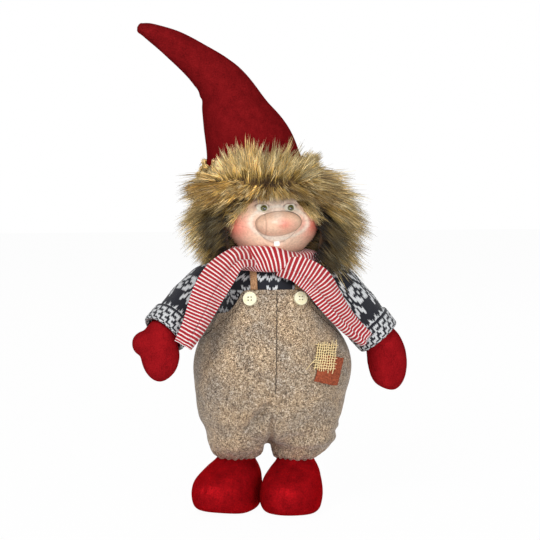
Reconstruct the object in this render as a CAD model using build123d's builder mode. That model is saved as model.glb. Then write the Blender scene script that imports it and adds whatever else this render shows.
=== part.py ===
from build123d import *
import os
from math import atan2, cos, degrees, radians, sin, sqrt

# A free-standing stuffed folk troll in millimetres: +Z is up, the face looks along -Y and the
# figure's own left hand is at +X. The origin is on the floor, under the middle of the figure.

# Cloth thicknesses and clearances
KNIT = 2.0
TWEED = 2.2
FELT = 2.4
JERSEY = 2.2
JUTE = 1.6
PATCH_CLOTH = 1.0
CLOTH_GAP = 0.3  # between one soft layer and the next
STUFFING_GAP = 0.9  # between the trunk's stuffing and its clothes
SEWN_GAP = 0.1  # between a piece and the cloth that it is sewn on
FIT_GAP = 0.2  # round a rod pushed into stuffing
RUNNING_GAP = 0.05  # round a pin or peg in the bore that turns on it
TURN_GAP = 1.0  # between the turning head and what stands round it

# Boots: each oval has its height, half width, half length and how far it lies forward of the ankle
BOOT_HEIGHT = 52.0
SOLE_HALF_WIDTH = 21.0
SOLE_HALF_LENGTH = 33.0
WELT_RISE = 4.0
WELT_HALF_WIDTH = 25.0
WELT_HALF_LENGTH = 39.0
TOE_RISE = 14.0
TOE_HALF_WIDTH = 27.5
TOE_HALF_LENGTH = 41.5
TOE_FORWARD = 18.0
INSTEP_RISE = 28.0
INSTEP_HALF_WIDTH = 26.5
INSTEP_HALF_LENGTH = 39.0
INSTEP_FORWARD = 16.0
ANKLE_RISE = 38.0
ANKLE_HALF_WIDTH = 22.5
ANKLE_HALF_LENGTH = 30.0
ANKLE_FORWARD = 9.0
ANKLE_RADIUS = 16.0
INSOLE = 2.0
LEG_DOWEL_RADIUS = 5.0
LEG_DOWEL_LENGTH = 120.0
RIGHT_FOOT_X = -31.0
RIGHT_FOOT_Y = 4.0
RIGHT_FOOT_TURN = -36.0
LEFT_FOOT_X = 22.5
LEFT_FOOT_Y = -4.0
LEFT_FOOT_TURN = -18.0

# Legs of the overalls
HEM_OVERLAP = 4.0  # how far the hem hangs over the top of the boot
ELASTIC_RADIUS = 1.3
CALF_RISE = 8.0
CALF_HALF_WIDTH = 24.0
CALF_HALF_DEPTH = 25.0
THIGH_RISE = 18.0
THIGH_HALF_WIDTH = 27.0
THIGH_HALF_DEPTH = 33.0
LEG_TOP_RISE = 46.0
LEG_TOP_HALF_WIDTH = 28.0
LEG_TOP_HALF_DEPTH = 37.0
LEG_OUT = 28.0  # sideways place of each thigh

# Trunk: each oval has its rise from the one below, its half width and its half depth
INSEAM = 18.0
CROTCH_HALF_WIDTH = 38.0
CROTCH_HALF_DEPTH = 31.0
HIP_RISE = 18.0
HIP_HALF_WIDTH = 58.0
HIP_HALF_DEPTH = 44.0
SEAT_RISE = 20.0
SEAT_HALF_WIDTH = 63.0
SEAT_HALF_DEPTH = 48.5
BELLY_RISE = 30.0
BELLY_HALF_WIDTH = 67.0
BELLY_HALF_DEPTH = 51.0
WAIST_RISE = 22.0
WAIST_HALF_WIDTH = 62.0
WAIST_HALF_DEPTH = 49.0
CHEST_RISE = 24.0
CHEST_HALF_WIDTH = 48.5
CHEST_HALF_DEPTH = 43.0
BIB_RISE = 19.0
BIB_HALF_WIDTH = 48.0
BIB_HALF_DEPTH = 38.5
SHOULDER_RISE = 14.0
SHOULDER_HALF_WIDTH = 53.0
SHOULDER_HALF_DEPTH = 34.0
COLLAR_RISE = 10.0
COLLAR_HALF_WIDTH = 36.0
COLLAR_HALF_DEPTH = 25.0
NECK_RISE = 6.0
NECK_RADIUS = 18.5
SWEATER_TUCK = 45.0  # how far the jumper reaches down inside the overalls

# Overalls' top edge, braces, buttons and patches
BIB_TOP_ABOVE_BUTTON = 8.0
BIB_TOP_HALF_WIDTH = 31.0
BACK_TOP_HALF_WIDTH = 36.0
BACK_TOP_BELOW_BUTTON = 20.0
SIDE_RIM_ABOVE_BELLY = 26.0
BUTTON_RADIUS = 6.3
BUTTON_THICKNESS = 3.0
BUTTON_RIM = 1.3
BUTTON_DISH = 0.8
BUTTON_HOLE_RADIUS = 0.75
BUTTON_HOLE_SPACING = 2.8
BUTTON_SPACING = 45.0
STRAP_WIDTH = 6.5
PATCH_X = 43.0
PATCH_ABOVE_BELLY = 12.0
BURLAP_WIDTH = 18.0
BURLAP_HEIGHT = 21.0
BURLAP_LEAN = -9.0
BROWN_WIDTH = 22.0
BROWN_HEIGHT = 24.0
BROWN_LEAN = -16.0
BROWN_SHIFT_X = 4.0
BROWN_SHIFT_Z = -12.0

# Scarf: the wrap round the neck, and for each end its width and the places that it passes
WRAP_RADIUS = 36.0
WRAP_HALF_THICKNESS = 7.5
WRAP_HALF_HEIGHT = 10.5
WRAP_ABOVE_COLLAR = 11.0
WRAP_LEAN = 7.0
SCARF_WIDTHS = [16.0, 27.0, 29.0, 28.0, 24.0, 19.0]
SCARF_CROWN = 3.0
SCARF_FOLD = 0.36  # share of the width that is folded over
RIGHT_END_PLACES = [
    (-25, -26, 17),
    (-38, -43, 7),
    (-50, -46.5, -5),
    (-62, -51, -20),
    (-71, -57, -38),
    (-78, -60, -56),
]
LEFT_END_PLACES = [
    (22, -28, 17),
    (32, -44, 6),
    (43, -43, -7),
    (54, -40, -23),
    (66, -37, -41),
    (78, -34, -56),
]

# Neck peg and head: each oval of the head has its rise from the one below
PEG_RADIUS = 7.0
PEG_DEPTH = 50.0
PEG_STAND = 37.0
HEAD_GAP = 6.5
CHIN_HALF_WIDTH = 19.0
CHIN_HALF_DEPTH = 18.0
JAW_RISE = 6.0
JAW_HALF_WIDTH = 28.0
JAW_HALF_DEPTH = 28.0
CHEEK_RISE = 12.0
CHEEK_HALF_WIDTH = 38.0
CHEEK_HALF_DEPTH = 36.0
FACE_RISE = 14.0
FACE_HALF_WIDTH = 40.5
FACE_HALF_DEPTH = 38.5
BROW_RISE = 14.0
BROW_HALF_WIDTH = 38.0
BROW_HALF_DEPTH = 37.0
CROWN_RISE = 12.0
CROWN_HALF_WIDTH = 29.0
CROWN_HALF_DEPTH = 30.0
TOP_RISE = 8.0
TOP_HALF_WIDTH = 14.0
TOP_HALF_DEPTH = 15.0
MASK_WALL = 3.0
MASK_BACK_Y = -4.0
NOSE_HALF_WIDTH = 21.0
NOSE_HALF_HEIGHT = 13.0
NOSE_HALF_LENGTH = 17.0
NOSE_ABOVE_CHEEK = 14.0
NOSE_X = 3.0
NOSE_SHARES = [(-0.6, 0.8), (0.2, 1.0), (0.75, 0.8), (1.0, 0.45)]  # of its length, and of its size there
EYE_RADIUS = 4.2
EYE_SPACING = 23.0
EYE_MIDDLE_X = 2.0
EYE_ABOVE_NOSE = 12.0
EYE_SUNK = 1.6
TOOTH_WIDTH = 5.2
TOOTH_HEIGHT = 4.6
TOOTH_THICKNESS = 2.4
TOOTH_X = 1.5
TOOTH_BELOW_NOSE = 19.0
TOOTH_LEAN = 4.0

# Fur hair: an open bell round the face, thick at the crown
WIG_ABOVE_NECK = 3.0
WIG_WALL = 14.0
WIG_RIM_HALF_WIDTH = 66.0
WIG_RIM_HALF_DEPTH = 61.0
WIG_SIDE_RISE = 25.0
WIG_SIDE_HALF_WIDTH = 84.0
WIG_SIDE_HALF_DEPTH = 66.0
WIG_BROW_RISE = 26.0
WIG_BROW_HALF_WIDTH = 80.0
WIG_BROW_HALF_DEPTH = 64.0
WIG_CROWN_RISE = 28.0
WIG_CROWN_HALF_WIDTH = 64.0
WIG_CROWN_HALF_DEPTH = 57.0
WIG_TOP_RISE = 18.0
WIG_TOP_HALF_WIDTH = 54.0
WIG_TOP_HALF_DEPTH = 50.0
WIG_TOP_SHIFT = -12.0
FACE_OPENING_HALF_WIDTH = 45.0
FACE_OPENING_TOP = 14.0  # above the brow oval
FACE_OPENING_BACK_Y = -12.0

# Hat: the places of its middle line beside and above the head's top, with the radius at each
HAT_CONE_PLACES = [(-13, 5, 47.0), (-18, 32, 42.5), (-29, 58, 33.5), (-40, 83, 25.5)]
HAT_PEAK_PLACES = [(-50.5, 98, 20.6), (-66, 112.5, 17.0), (-87, 127.5, 13.2), (-109, 138.5, 8.6)]
HAT_TIP_PLACE = (-118.5, 142, 4.2)
HAT_PLUG_RADIUS = 26.0  # the filling that rests on the head
HAT_PLUG_HEIGHT = 20.0
HAT_RIM_DROP = 9.0  # the cone's rim lies this far below the middle of the peak's ball
SOCKET_GAP = 0.6

# Arms: a disc joint at the shoulder, a stuffed sleeve with a turned cuff and a hanging mitten
ARM_ABOVE_BUTTON = 8.0
ARMHOLE_X = 49.5
ARM_DISC_RADIUS = 10.0
ARM_DISC_THICKNESS = 2.5
PIN_RADIUS = 2.0
PIN_HEAD_RADIUS = 4.5
PIN_HEAD_THICKNESS = 1.6
PIN_TAIL = 6.0
SHOULDER_BALL_RADIUS = 19.0
SHOULDER_BALL_OUT = 9.0
ARM_REACH = 50.0
ARM_FALL = 49.0
SLEEVE_RADIUS = 20.5
WRIST_RADIUS = 18.5
CUFF_LENGTH = 17.0
CUFF_STEP = 2.0
MITTEN_TUCK = 8.0
MITTEN_LENGTH = 50.0
MITTEN_LEANS = {"right": -25.0, "left": -10.0}  # from upright, at the finger tips
PALM_HALF_WIDTH = 18.5
PALM_HALF_THICKNESS = 14.5
FINGER_HALF_WIDTH = 16.5
FINGER_HALF_THICKNESS = 12.5
TIP_HALF_WIDTH = 8.0
TIP_HALF_THICKNESS = 6.0
WRIST_SHARE = 0.1  # where the wrist, palm and fingers lie along the mitten
PALM_SHARE = 0.42
FINGER_SHARE = 0.76
THUMB_LENGTH = 25.0
THUMB_RADIUS = 9.0
THUMB_TIP_RADIUS = 6.0
THUMB_ALONG = 10.0
THUMB_ROOT = 4.0
THUMB_SLOPE = 0.5
THUMB_KNUCKLE_SHARE = 0.7
RIGHT_ARM_SWING = 35.0
LEFT_ARM_SWING = 0.0

CUT = 400.0  # longer than any piece that a cut passes through
SIDES = {"right": -1, "left": 1}

# Heights and layers worked out from the sizes above
hem_z = BOOT_HEIGHT - HEM_OVERLAP
crotch_z = hem_z + INSEAM
hip_z = crotch_z + HIP_RISE
seat_z = hip_z + SEAT_RISE
belly_z = seat_z + BELLY_RISE
waist_z = belly_z + WAIST_RISE
chest_z = waist_z + CHEST_RISE
bib_z = chest_z + BIB_RISE
shoulder_z = bib_z + SHOULDER_RISE
arm_z = bib_z + ARM_ABOVE_BUTTON
collar_z = shoulder_z + COLLAR_RISE
neck_z = collar_z + NECK_RISE
chin_z = neck_z + HEAD_GAP
jaw_z = chin_z + JAW_RISE
cheek_z = jaw_z + CHEEK_RISE
face_z = cheek_z + FACE_RISE
brow_z = face_z + BROW_RISE
crown_z = brow_z + CROWN_RISE
top_z = crown_z + TOP_RISE
nose_z = cheek_z + NOSE_ABOVE_CHEEK
wig_z = neck_z + WIG_ABOVE_NECK

knit_inner = STUFFING_GAP
knit_outer = knit_inner + KNIT
tweed_inner = knit_outer + CLOTH_GAP
tweed_outer = tweed_inner + TWEED
strap_inner = tweed_inner + CLOTH_GAP
strap_outer = strap_inner + JUTE

bib_top_z = bib_z + BIB_TOP_ABOVE_BUTTON
back_top_z = bib_z - BACK_TOP_BELOW_BUTTON
side_rim_z = belly_z + SIDE_RIM_ABOVE_BELLY
side_rim_x = BELLY_HALF_WIDTH + tweed_outer
sweater_hem_z = side_rim_z - SWEATER_TUCK
elastic_ring_radius = ANKLE_RADIUS + CLOTH_GAP + ELASTIC_RADIUS
hem_radius = elastic_ring_radius + ELASTIC_RADIUS + CLOTH_GAP

FEET = {
    "right": (RIGHT_FOOT_X, RIGHT_FOOT_Y, RIGHT_FOOT_TURN),
    "left": (LEFT_FOOT_X, LEFT_FOOT_Y, LEFT_FOOT_TURN),
}
SWINGS = {"right": RIGHT_ARM_SWING, "left": LEFT_ARM_SWING}


def oval_radii(half_width, half_depth):
    """The end and flat radii of an oval of four tangent arcs that each turn through 90 degrees."""
    lean = sqrt(2) - 1
    end = (half_depth - lean * half_width) / (1 - lean)
    flat = end + (half_width - end) * sqrt(2)
    return end, flat


def oval(plane, half_width, half_depth):
    """One oval section on a plane, half_width along the plane's X axis."""
    end, _ = oval_radii(half_width, half_depth)
    join_x = half_width - end + end / sqrt(2)
    join_y = end / sqrt(2)
    with BuildSketch(plane) as section:
        with BuildLine():
            ThreePointArc((join_x, -join_y), (half_width, 0), (join_x, join_y))
            ThreePointArc((join_x, join_y), (0, half_depth), (-join_x, join_y))
            ThreePointArc((-join_x, join_y), (-half_width, 0), (-join_x, -join_y))
            ThreePointArc((-join_x, -join_y), (0, -half_depth), (join_x, -join_y))
        make_face()
    return section.sketch


def level(z, x=0.0, y=0.0, turn=0.0):
    """A level plane at a height, turned about the vertical."""
    return Plane((x, y, z), x_dir=(cos(radians(turn)), sin(radians(turn)), 0), z_dir=(0, 0, 1))


def trunk_sections(growth):
    """The trunk's ovals from crotch to neck, grown outwards by some layers of cloth."""
    stations = [
        (crotch_z - growth, CROTCH_HALF_WIDTH, CROTCH_HALF_DEPTH),
        (hip_z, HIP_HALF_WIDTH, HIP_HALF_DEPTH),
        (seat_z, SEAT_HALF_WIDTH, SEAT_HALF_DEPTH),
        (belly_z, BELLY_HALF_WIDTH, BELLY_HALF_DEPTH),
        (waist_z, WAIST_HALF_WIDTH, WAIST_HALF_DEPTH),
        (chest_z, CHEST_HALF_WIDTH, CHEST_HALF_DEPTH),
        (bib_z, BIB_HALF_WIDTH, BIB_HALF_DEPTH),
        (shoulder_z + growth / 3, SHOULDER_HALF_WIDTH, SHOULDER_HALF_DEPTH),
        (collar_z + growth, COLLAR_HALF_WIDTH, COLLAR_HALF_DEPTH),
        (neck_z + growth, NECK_RADIUS, NECK_RADIUS),
    ]
    return [oval(level(z), width + growth, depth + growth) for z, width, depth in stations]


def leg_sections(side, growth):
    """One leg's ovals from the hem up into the trunk, grown outwards by some layers of cloth."""
    foot_x, foot_y, _ = FEET[side]
    thigh_x = SIDES[side] * LEG_OUT
    calf_x = (foot_x + thigh_x) / 2
    return [
        oval(level(hem_z, foot_x, foot_y), hem_radius + growth, hem_radius + growth),
        oval(level(hem_z + CALF_RISE, calf_x, foot_y), CALF_HALF_WIDTH + growth, CALF_HALF_DEPTH + growth),
        oval(level(hem_z + THIGH_RISE, thigh_x), THIGH_HALF_WIDTH + growth, THIGH_HALF_DEPTH + growth),
        oval(level(hem_z + LEG_TOP_RISE, thigh_x), LEG_TOP_HALF_WIDTH + growth, LEG_TOP_HALF_DEPTH + growth),
    ]


def boot_sections(side, inset, sole):
    """One boot's ovals from the sole to the ankle, drawn in by the felt."""
    foot_x, foot_y, turn = FEET[side]
    stations = [
        (sole, SOLE_HALF_WIDTH, SOLE_HALF_LENGTH, TOE_FORWARD),
        (sole + WELT_RISE, WELT_HALF_WIDTH, WELT_HALF_LENGTH, TOE_FORWARD),
        (TOE_RISE, TOE_HALF_WIDTH, TOE_HALF_LENGTH, TOE_FORWARD),
        (INSTEP_RISE, INSTEP_HALF_WIDTH, INSTEP_HALF_LENGTH, INSTEP_FORWARD),
        (ANKLE_RISE, ANKLE_HALF_WIDTH, ANKLE_HALF_LENGTH, ANKLE_FORWARD),
        (hem_z - CLOTH_GAP, ANKLE_RADIUS, ANKLE_RADIUS, 0.0),
        (BOOT_HEIGHT, ANKLE_RADIUS, ANKLE_RADIUS, 0.0),
    ]
    ahead_x = sin(radians(turn))
    ahead_y = -cos(radians(turn))
    return [
        oval(
            level(z, foot_x + forward * ahead_x, foot_y + forward * ahead_y, turn),
            width - inset,
            length - inset,
        )
        for z, width, length, forward in stations
    ]


def head_sections(growth):
    """The head's ovals from chin to top, grown outwards or drawn in."""
    stations = [
        (chin_z, CHIN_HALF_WIDTH, CHIN_HALF_DEPTH),
        (jaw_z, JAW_HALF_WIDTH, JAW_HALF_DEPTH),
        (cheek_z, CHEEK_HALF_WIDTH, CHEEK_HALF_DEPTH),
        (face_z, FACE_HALF_WIDTH, FACE_HALF_DEPTH),
        (brow_z, BROW_HALF_WIDTH, BROW_HALF_DEPTH),
        (crown_z, CROWN_HALF_WIDTH, CROWN_HALF_DEPTH),
        (top_z + max(growth, 0.0), TOP_HALF_WIDTH, TOP_HALF_DEPTH),
    ]
    return [oval(level(z), width + growth, depth + growth) for z, width, depth in stations]


def head_sweep_sections(growth):
    """Round sections that hold the lower head at every angle that it turns to."""
    stations = [
        (chin_z, CHIN_HALF_WIDTH),
        (jaw_z, JAW_HALF_WIDTH),
        (cheek_z, CHEEK_HALF_WIDTH),
        (face_z, FACE_HALF_WIDTH),
    ]
    return [oval(level(z), radius + growth, radius + growth) for z, radius in stations]


def wig_sections(inset):
    """The bell of the hair from its lower rim to the hat, drawn in by its wall."""
    side_z = wig_z + WIG_SIDE_RISE
    brow_level = side_z + WIG_BROW_RISE
    crown_level = brow_level + WIG_CROWN_RISE
    top_level = crown_level + WIG_TOP_RISE
    stations = [
        (wig_z, 0.0, WIG_RIM_HALF_WIDTH, WIG_RIM_HALF_DEPTH),
        (side_z, 0.0, WIG_SIDE_HALF_WIDTH, WIG_SIDE_HALF_DEPTH),
        (brow_level, 0.0, WIG_BROW_HALF_WIDTH, WIG_BROW_HALF_DEPTH),
        (crown_level - inset, WIG_TOP_SHIFT / 2, WIG_CROWN_HALF_WIDTH, WIG_CROWN_HALF_DEPTH),
        (top_level - inset, WIG_TOP_SHIFT, WIG_TOP_HALF_WIDTH, WIG_TOP_HALF_DEPTH),
    ]
    return [oval(level(z, x), width - inset, depth - inset) for z, x, width, depth in stations]


def hat_planes(places):
    """Planes square to the hat's middle line at each of its places."""
    planes = []
    for index, (x, z, _) in enumerate(places):
        before = places[max(index - 1, 0)]
        after = places[min(index + 1, len(places) - 1)]
        run = Vector(after[0] - before[0], 0, after[1] - before[1])
        planes.append(Plane((x, 0, top_z + z), x_dir=(0, 1, 0), z_dir=run))
    return planes


hat_places = HAT_CONE_PLACES + HAT_PEAK_PLACES + [HAT_TIP_PLACE]
hat_frames = hat_planes(hat_places)
peak_start = len(HAT_CONE_PLACES) - 1
peak_ball_plane = hat_frames[peak_start]
peak_ball_radius = hat_places[peak_start][2]


def hat_sections(first, last, inset):
    """Round sections of the hat between two of its places, drawn in by the felt."""
    return [
        oval(hat_frames[index], hat_places[index][2] - inset, hat_places[index][2] - inset)
        for index in range(first, last + 1)
    ]


def ball_profile(plane, radius):
    """A half disc on the plane through a hat frame's axis, to be turned into a ball."""
    upright = Plane(plane.origin, x_dir=plane.x_dir, z_dir=plane.z_dir.cross(plane.x_dir))
    with BuildSketch(upright) as half:
        with BuildLine():
            lower = upright.to_local_coords(plane.origin - plane.z_dir * radius)
            upper = upright.to_local_coords(plane.origin + plane.z_dir * radius)
            ThreePointArc((lower.X, lower.Y), (radius, 0), (upper.X, upper.Y))
            Line((upper.X, upper.Y), (lower.X, lower.Y))
        make_face()
    return half.sketch


def shoulder_frame(side):
    """The arm's own frame: X straight out from the shoulder, Z up along the hanging arm."""
    swing = radians(SWINGS[side])
    outward = SIDES[side]
    return Plane(
        (outward * (ARMHOLE_X + CLOTH_GAP), 0, arm_z),
        x_dir=(outward, 0, 0),
        z_dir=(0, sin(swing), cos(swing)),
    )


def limb_plane(side, out, up, lean):
    """A plane in the arm's frame whose normal points down, leaning outwards by some degrees."""
    run = (sin(radians(lean)), 0, -cos(radians(lean)))
    across = Plane((out, 0, up), x_dir=(0, 1, 0), z_dir=run)
    return Plane(shoulder_frame(side).location * across.location)


sleeve_length = sqrt((ARM_REACH - SHOULDER_BALL_OUT) ** 2 + ARM_FALL**2)
sleeve_lean = degrees(atan2(ARM_REACH - SHOULDER_BALL_OUT, ARM_FALL))


def sleeve_disc(side, along, radius):
    """A round section of the sleeve at a distance from the middle of the shoulder ball."""
    share = along / sleeve_length
    out = SHOULDER_BALL_OUT + share * (ARM_REACH - SHOULDER_BALL_OUT)
    return oval(limb_plane(side, out, -share * ARM_FALL, sleeve_lean), radius, radius)


def sleeve_sections(side, inset, length):
    """The sleeve swells below the shoulder and narrows to the wrist."""
    return [
        sleeve_disc(side, 0.0, SHOULDER_BALL_RADIUS - SEWN_GAP - inset),
        sleeve_disc(side, sleeve_length / 2, SLEEVE_RADIUS - inset),
        sleeve_disc(side, length, WRIST_RADIUS - inset),
    ]


def mitten_sections(side, inset):
    """The mitten's ovals from inside the cuff to the finger tips, drawn in by the felt."""
    wrist = WRIST_RADIUS - KNIT - 2 * CLOTH_GAP
    stations = [
        (-MITTEN_TUCK, wrist, wrist),
        (MITTEN_LENGTH * WRIST_SHARE, wrist, wrist),
        (MITTEN_LENGTH * PALM_SHARE, PALM_HALF_THICKNESS, PALM_HALF_WIDTH),
        (MITTEN_LENGTH * FINGER_SHARE, FINGER_HALF_THICKNESS, FINGER_HALF_WIDTH),
        (MITTEN_LENGTH - inset, TIP_HALF_THICKNESS + inset / 2, TIP_HALF_WIDTH + inset / 2),
    ]
    return [
        oval(mitten_plane(side, along), thickness - inset, width - inset)
        for along, thickness, width in stations
    ]


def mitten_plane(side, along):
    """A plane across the hand at a distance from the cuff's end; the hand turns down as it goes."""
    bend = min(max(along / MITTEN_LENGTH, 0.0), 1.0)
    lean = sleeve_lean + (MITTEN_LEANS[side] - sleeve_lean) * bend
    middle_lean = radians((sleeve_lean + lean) / 2)
    out = ARM_REACH + along * sin(middle_lean)
    return limb_plane(side, out, -ARM_FALL - along * cos(middle_lean), lean)


def thumb_sections(side):
    """The thumb's round sections, out of the side of the right mitten and the back of the left."""
    base = mitten_plane(side, THUMB_ALONG)
    out = base.y_dir if side == "right" else base.x_dir
    across = base.x_dir if side == "right" else base.y_dir
    run = (out + base.z_dir * THUMB_SLOPE).normalized()
    stations = [
        (THUMB_ROOT, THUMB_RADIUS),
        (THUMB_LENGTH * THUMB_KNUCKLE_SHARE, THUMB_RADIUS),
        (THUMB_LENGTH, THUMB_TIP_RADIUS),
    ]
    return [
        oval(Plane(base.origin + run * reach, x_dir=across, z_dir=run), radius, radius)
        for reach, radius in stations
    ]


def band(plane, width, start, end, lift):
    """A curved strip of cloth in section, from one share of the width to another."""
    half = width / 2
    bow = (half**2 + SCARF_CROWN**2) / (2 * SCARF_CROWN)
    edges = [half * (2 * share - 1) for share in (start, (start + end) / 2, end)]
    lower = [(x, lift + SCARF_CROWN - bow + sqrt(bow**2 - x**2)) for x in edges]
    upper = [(x, y + JERSEY) for x, y in lower]
    with BuildSketch(plane) as section:
        with BuildLine():
            ThreePointArc(*lower)
            Line(lower[-1], upper[-1])
            ThreePointArc(*reversed(upper))
            Line(upper[0], lower[0])
        make_face()
    return section.sketch


def scarf_planes(places):
    """Planes square to a scarf end's fall, with their Y axis towards the front."""
    planes = []
    points = [Vector(x, y, shoulder_z + z) for x, y, z in places]
    for index, point in enumerate(points):
        run = points[min(index + 1, len(points) - 1)] - points[max(index - 1, 0)]
        across = Vector(0, -1, 0).cross(run.normalized())
        planes.append(Plane(point, x_dir=across, z_dir=run))
    return planes


def finish(part, name):
    """Label one piece and write it."""
    part.label = name
    export_step(part, f"parts/{name}.step")


os.makedirs("parts", exist_ok=True)

# Trunk stuffing with its bores for the neck peg, the leg dowels and the shoulder discs
dowel_z = FELT + INSOLE + CLOTH_GAP
with BuildPart() as torso_stuffing:
    loft(trunk_sections(0.0))
    with BuildSketch(level(neck_z)):
        Circle(PEG_RADIUS + FIT_GAP)
    extrude(amount=-PEG_DEPTH - FIT_GAP, mode=Mode.SUBTRACT)
    for foot_x, foot_y, _ in FEET.values():
        with BuildSketch(level(dowel_z, foot_x, foot_y)):
            Circle(LEG_DOWEL_RADIUS + FIT_GAP)
        extrude(amount=LEG_DOWEL_LENGTH + FIT_GAP, mode=Mode.SUBTRACT)
    for outward in SIDES.values():
        with BuildSketch(Plane((outward * ARMHOLE_X, 0, arm_z), x_dir=(0, 1, 0), z_dir=(outward, 0, 0))):
            Circle(SHOULDER_BALL_RADIUS + TURN_GAP)
        extrude(amount=CUT, mode=Mode.SUBTRACT)
        with BuildSketch(Plane((outward * ARMHOLE_X, 0, arm_z), x_dir=(0, 1, 0), z_dir=(-outward, 0, 0))):
            Circle(ARM_DISC_RADIUS + FIT_GAP)
        extrude(amount=ARM_DISC_THICKNESS + FIT_GAP, mode=Mode.SUBTRACT)
        with BuildSketch(Plane((outward * ARMHOLE_X, 0, arm_z), x_dir=(0, 1, 0), z_dir=(-outward, 0, 0))):
            Circle(PIN_RADIUS + FIT_GAP)
        extrude(amount=ARM_DISC_THICKNESS + PIN_TAIL + FIT_GAP, mode=Mode.SUBTRACT)
finish(torso_stuffing.part, "torso_stuffing")

# Jumper's trunk, open at the armholes
with BuildPart() as sweater_body:
    with BuildSketch(level(sweater_hem_z)):
        Rectangle(CUT, CUT)
    extrude(amount=neck_z - sweater_hem_z)
    loft(trunk_sections(knit_outer), mode=Mode.INTERSECT)
    loft(trunk_sections(knit_inner), mode=Mode.SUBTRACT)
    for outward in SIDES.values():
        armhole = Plane((outward * ARMHOLE_X, 0, arm_z), x_dir=(0, 1, 0), z_dir=(outward, 0, 0))
        with BuildSketch(armhole):
            Circle(SHOULDER_BALL_RADIUS + TURN_GAP)
        extrude(amount=CUT, mode=Mode.SUBTRACT)
        with BuildSketch(armhole):
            Circle(ARM_DISC_RADIUS + FIT_GAP)
        extrude(amount=-ARM_DISC_THICKNESS - FIT_GAP, mode=Mode.SUBTRACT)
finish(sweater_body.part, "sweater_body")

# Bib overalls: a shell round the trunk and both legs, trimmed to the bib in front and a low back
with BuildPart() as overalls:
    bib_trim = (1, BIB_TOP_HALF_WIDTH, bib_top_z)
    back_trim = (-1, BACK_TOP_HALF_WIDTH, back_top_z)
    for facing, top_half, top in (bib_trim, back_trim):
        with BuildSketch(Plane.XZ):
            with BuildLine():
                Polyline(
                    (-CUT, 0),
                    (-CUT, side_rim_z),
                    (-side_rim_x, side_rim_z),
                    (-top_half, top),
                    (top_half, top),
                    (side_rim_x, side_rim_z),
                    (CUT, side_rim_z),
                    (CUT, 0),
                    close=True,
                )
            make_face()
        extrude(amount=facing * CUT)
    loft(trunk_sections(tweed_outer), mode=Mode.INTERSECT)
    for side in SIDES:
        loft(leg_sections(side, TWEED + CLOTH_GAP))
    loft(trunk_sections(tweed_inner), mode=Mode.SUBTRACT)
    for side in SIDES:
        loft(leg_sections(side, CLOTH_GAP), mode=Mode.SUBTRACT)
finish(overalls.part, "overalls")

# Jute braces over the shoulders, from the bib's top edge to the back's
for side, outward in SIDES.items():
    with BuildPart() as strap:
        for facing, top in ((1, bib_top_z), (-1, back_top_z)):
            with BuildSketch(Plane.XZ):
                with Locations((outward * BUTTON_SPACING / 2, top + SEWN_GAP)):
                    Rectangle(STRAP_WIDTH, CUT, align=(Align.CENTER, Align.MIN))
            extrude(amount=facing * CUT)
        loft(trunk_sections(strap_outer), mode=Mode.INTERSECT)
        loft(trunk_sections(strap_inner), mode=Mode.SUBTRACT)
    finish(strap.part, f"{side}_strap")

# Four-hole buttons, seated on the bib
_, bib_flat_radius = oval_radii(BIB_HALF_WIDTH + tweed_outer, BIB_HALF_DEPTH + tweed_outer)
button_x = BUTTON_SPACING / 2
button_y = bib_flat_radius - BIB_HALF_DEPTH - tweed_outer - sqrt(bib_flat_radius**2 - button_x**2)
bib_lean = degrees(atan2(CHEST_HALF_DEPTH - SHOULDER_HALF_DEPTH, shoulder_z - chest_z))
for side, outward in SIDES.items():
    face_out = Vector(outward * button_x / bib_flat_radius, -1, sin(radians(bib_lean))).normalized()
    seat = Plane((outward * button_x, button_y, bib_z), x_dir=(1, 0, 0), z_dir=face_out)
    with BuildPart() as button:
        with BuildSketch(seat.offset(-BUTTON_THICKNESS / 2)):
            Circle(BUTTON_RADIUS)
        extrude(amount=BUTTON_THICKNESS * 1.5)
        fillet(button.faces().sort_by(Axis(seat.origin, seat.z_dir))[-1].edges(), BUTTON_RIM / 2)
        with BuildSketch(seat.offset(BUTTON_THICKNESS)):
            Circle(BUTTON_RADIUS - BUTTON_RIM)
        extrude(amount=-BUTTON_DISH, mode=Mode.SUBTRACT)
        with BuildSketch(seat.offset(BUTTON_THICKNESS)):
            with GridLocations(BUTTON_HOLE_SPACING, BUTTON_HOLE_SPACING, 2, 2):
                Circle(BUTTON_HOLE_RADIUS)
        extrude(amount=-2 * BUTTON_THICKNESS, mode=Mode.SUBTRACT)
        loft(trunk_sections(tweed_outer + SEWN_GAP), mode=Mode.SUBTRACT)
    finish(button.part, f"{side}_button")

# Two patches on the left thigh, the burlap one over the brown one
patch_z = belly_z + PATCH_ABOVE_BELLY
brown_inner = tweed_outer + SEWN_GAP
brown_outer = brown_inner + PATCH_CLOTH
burlap_inner = brown_outer + SEWN_GAP
patches = {
    "brown_patch": (brown_inner, BROWN_WIDTH, BROWN_HEIGHT, BROWN_LEAN, BROWN_SHIFT_X, BROWN_SHIFT_Z),
    "burlap_patch": (burlap_inner, BURLAP_WIDTH, BURLAP_HEIGHT, BURLAP_LEAN, 0.0, 0.0),
}
for name, (inner, width, height, lean, shift_x, shift_z) in patches.items():
    with BuildPart() as patch:
        with BuildSketch(Plane.XZ):
            with Locations(Location((PATCH_X + shift_x, patch_z + shift_z, 0), (0, 0, lean))):
                Rectangle(width, height)
        extrude(amount=CUT)
        loft(trunk_sections(inner + PATCH_CLOTH), mode=Mode.INTERSECT)
        loft(trunk_sections(inner), mode=Mode.SUBTRACT)
    finish(patch.part, name)

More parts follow.
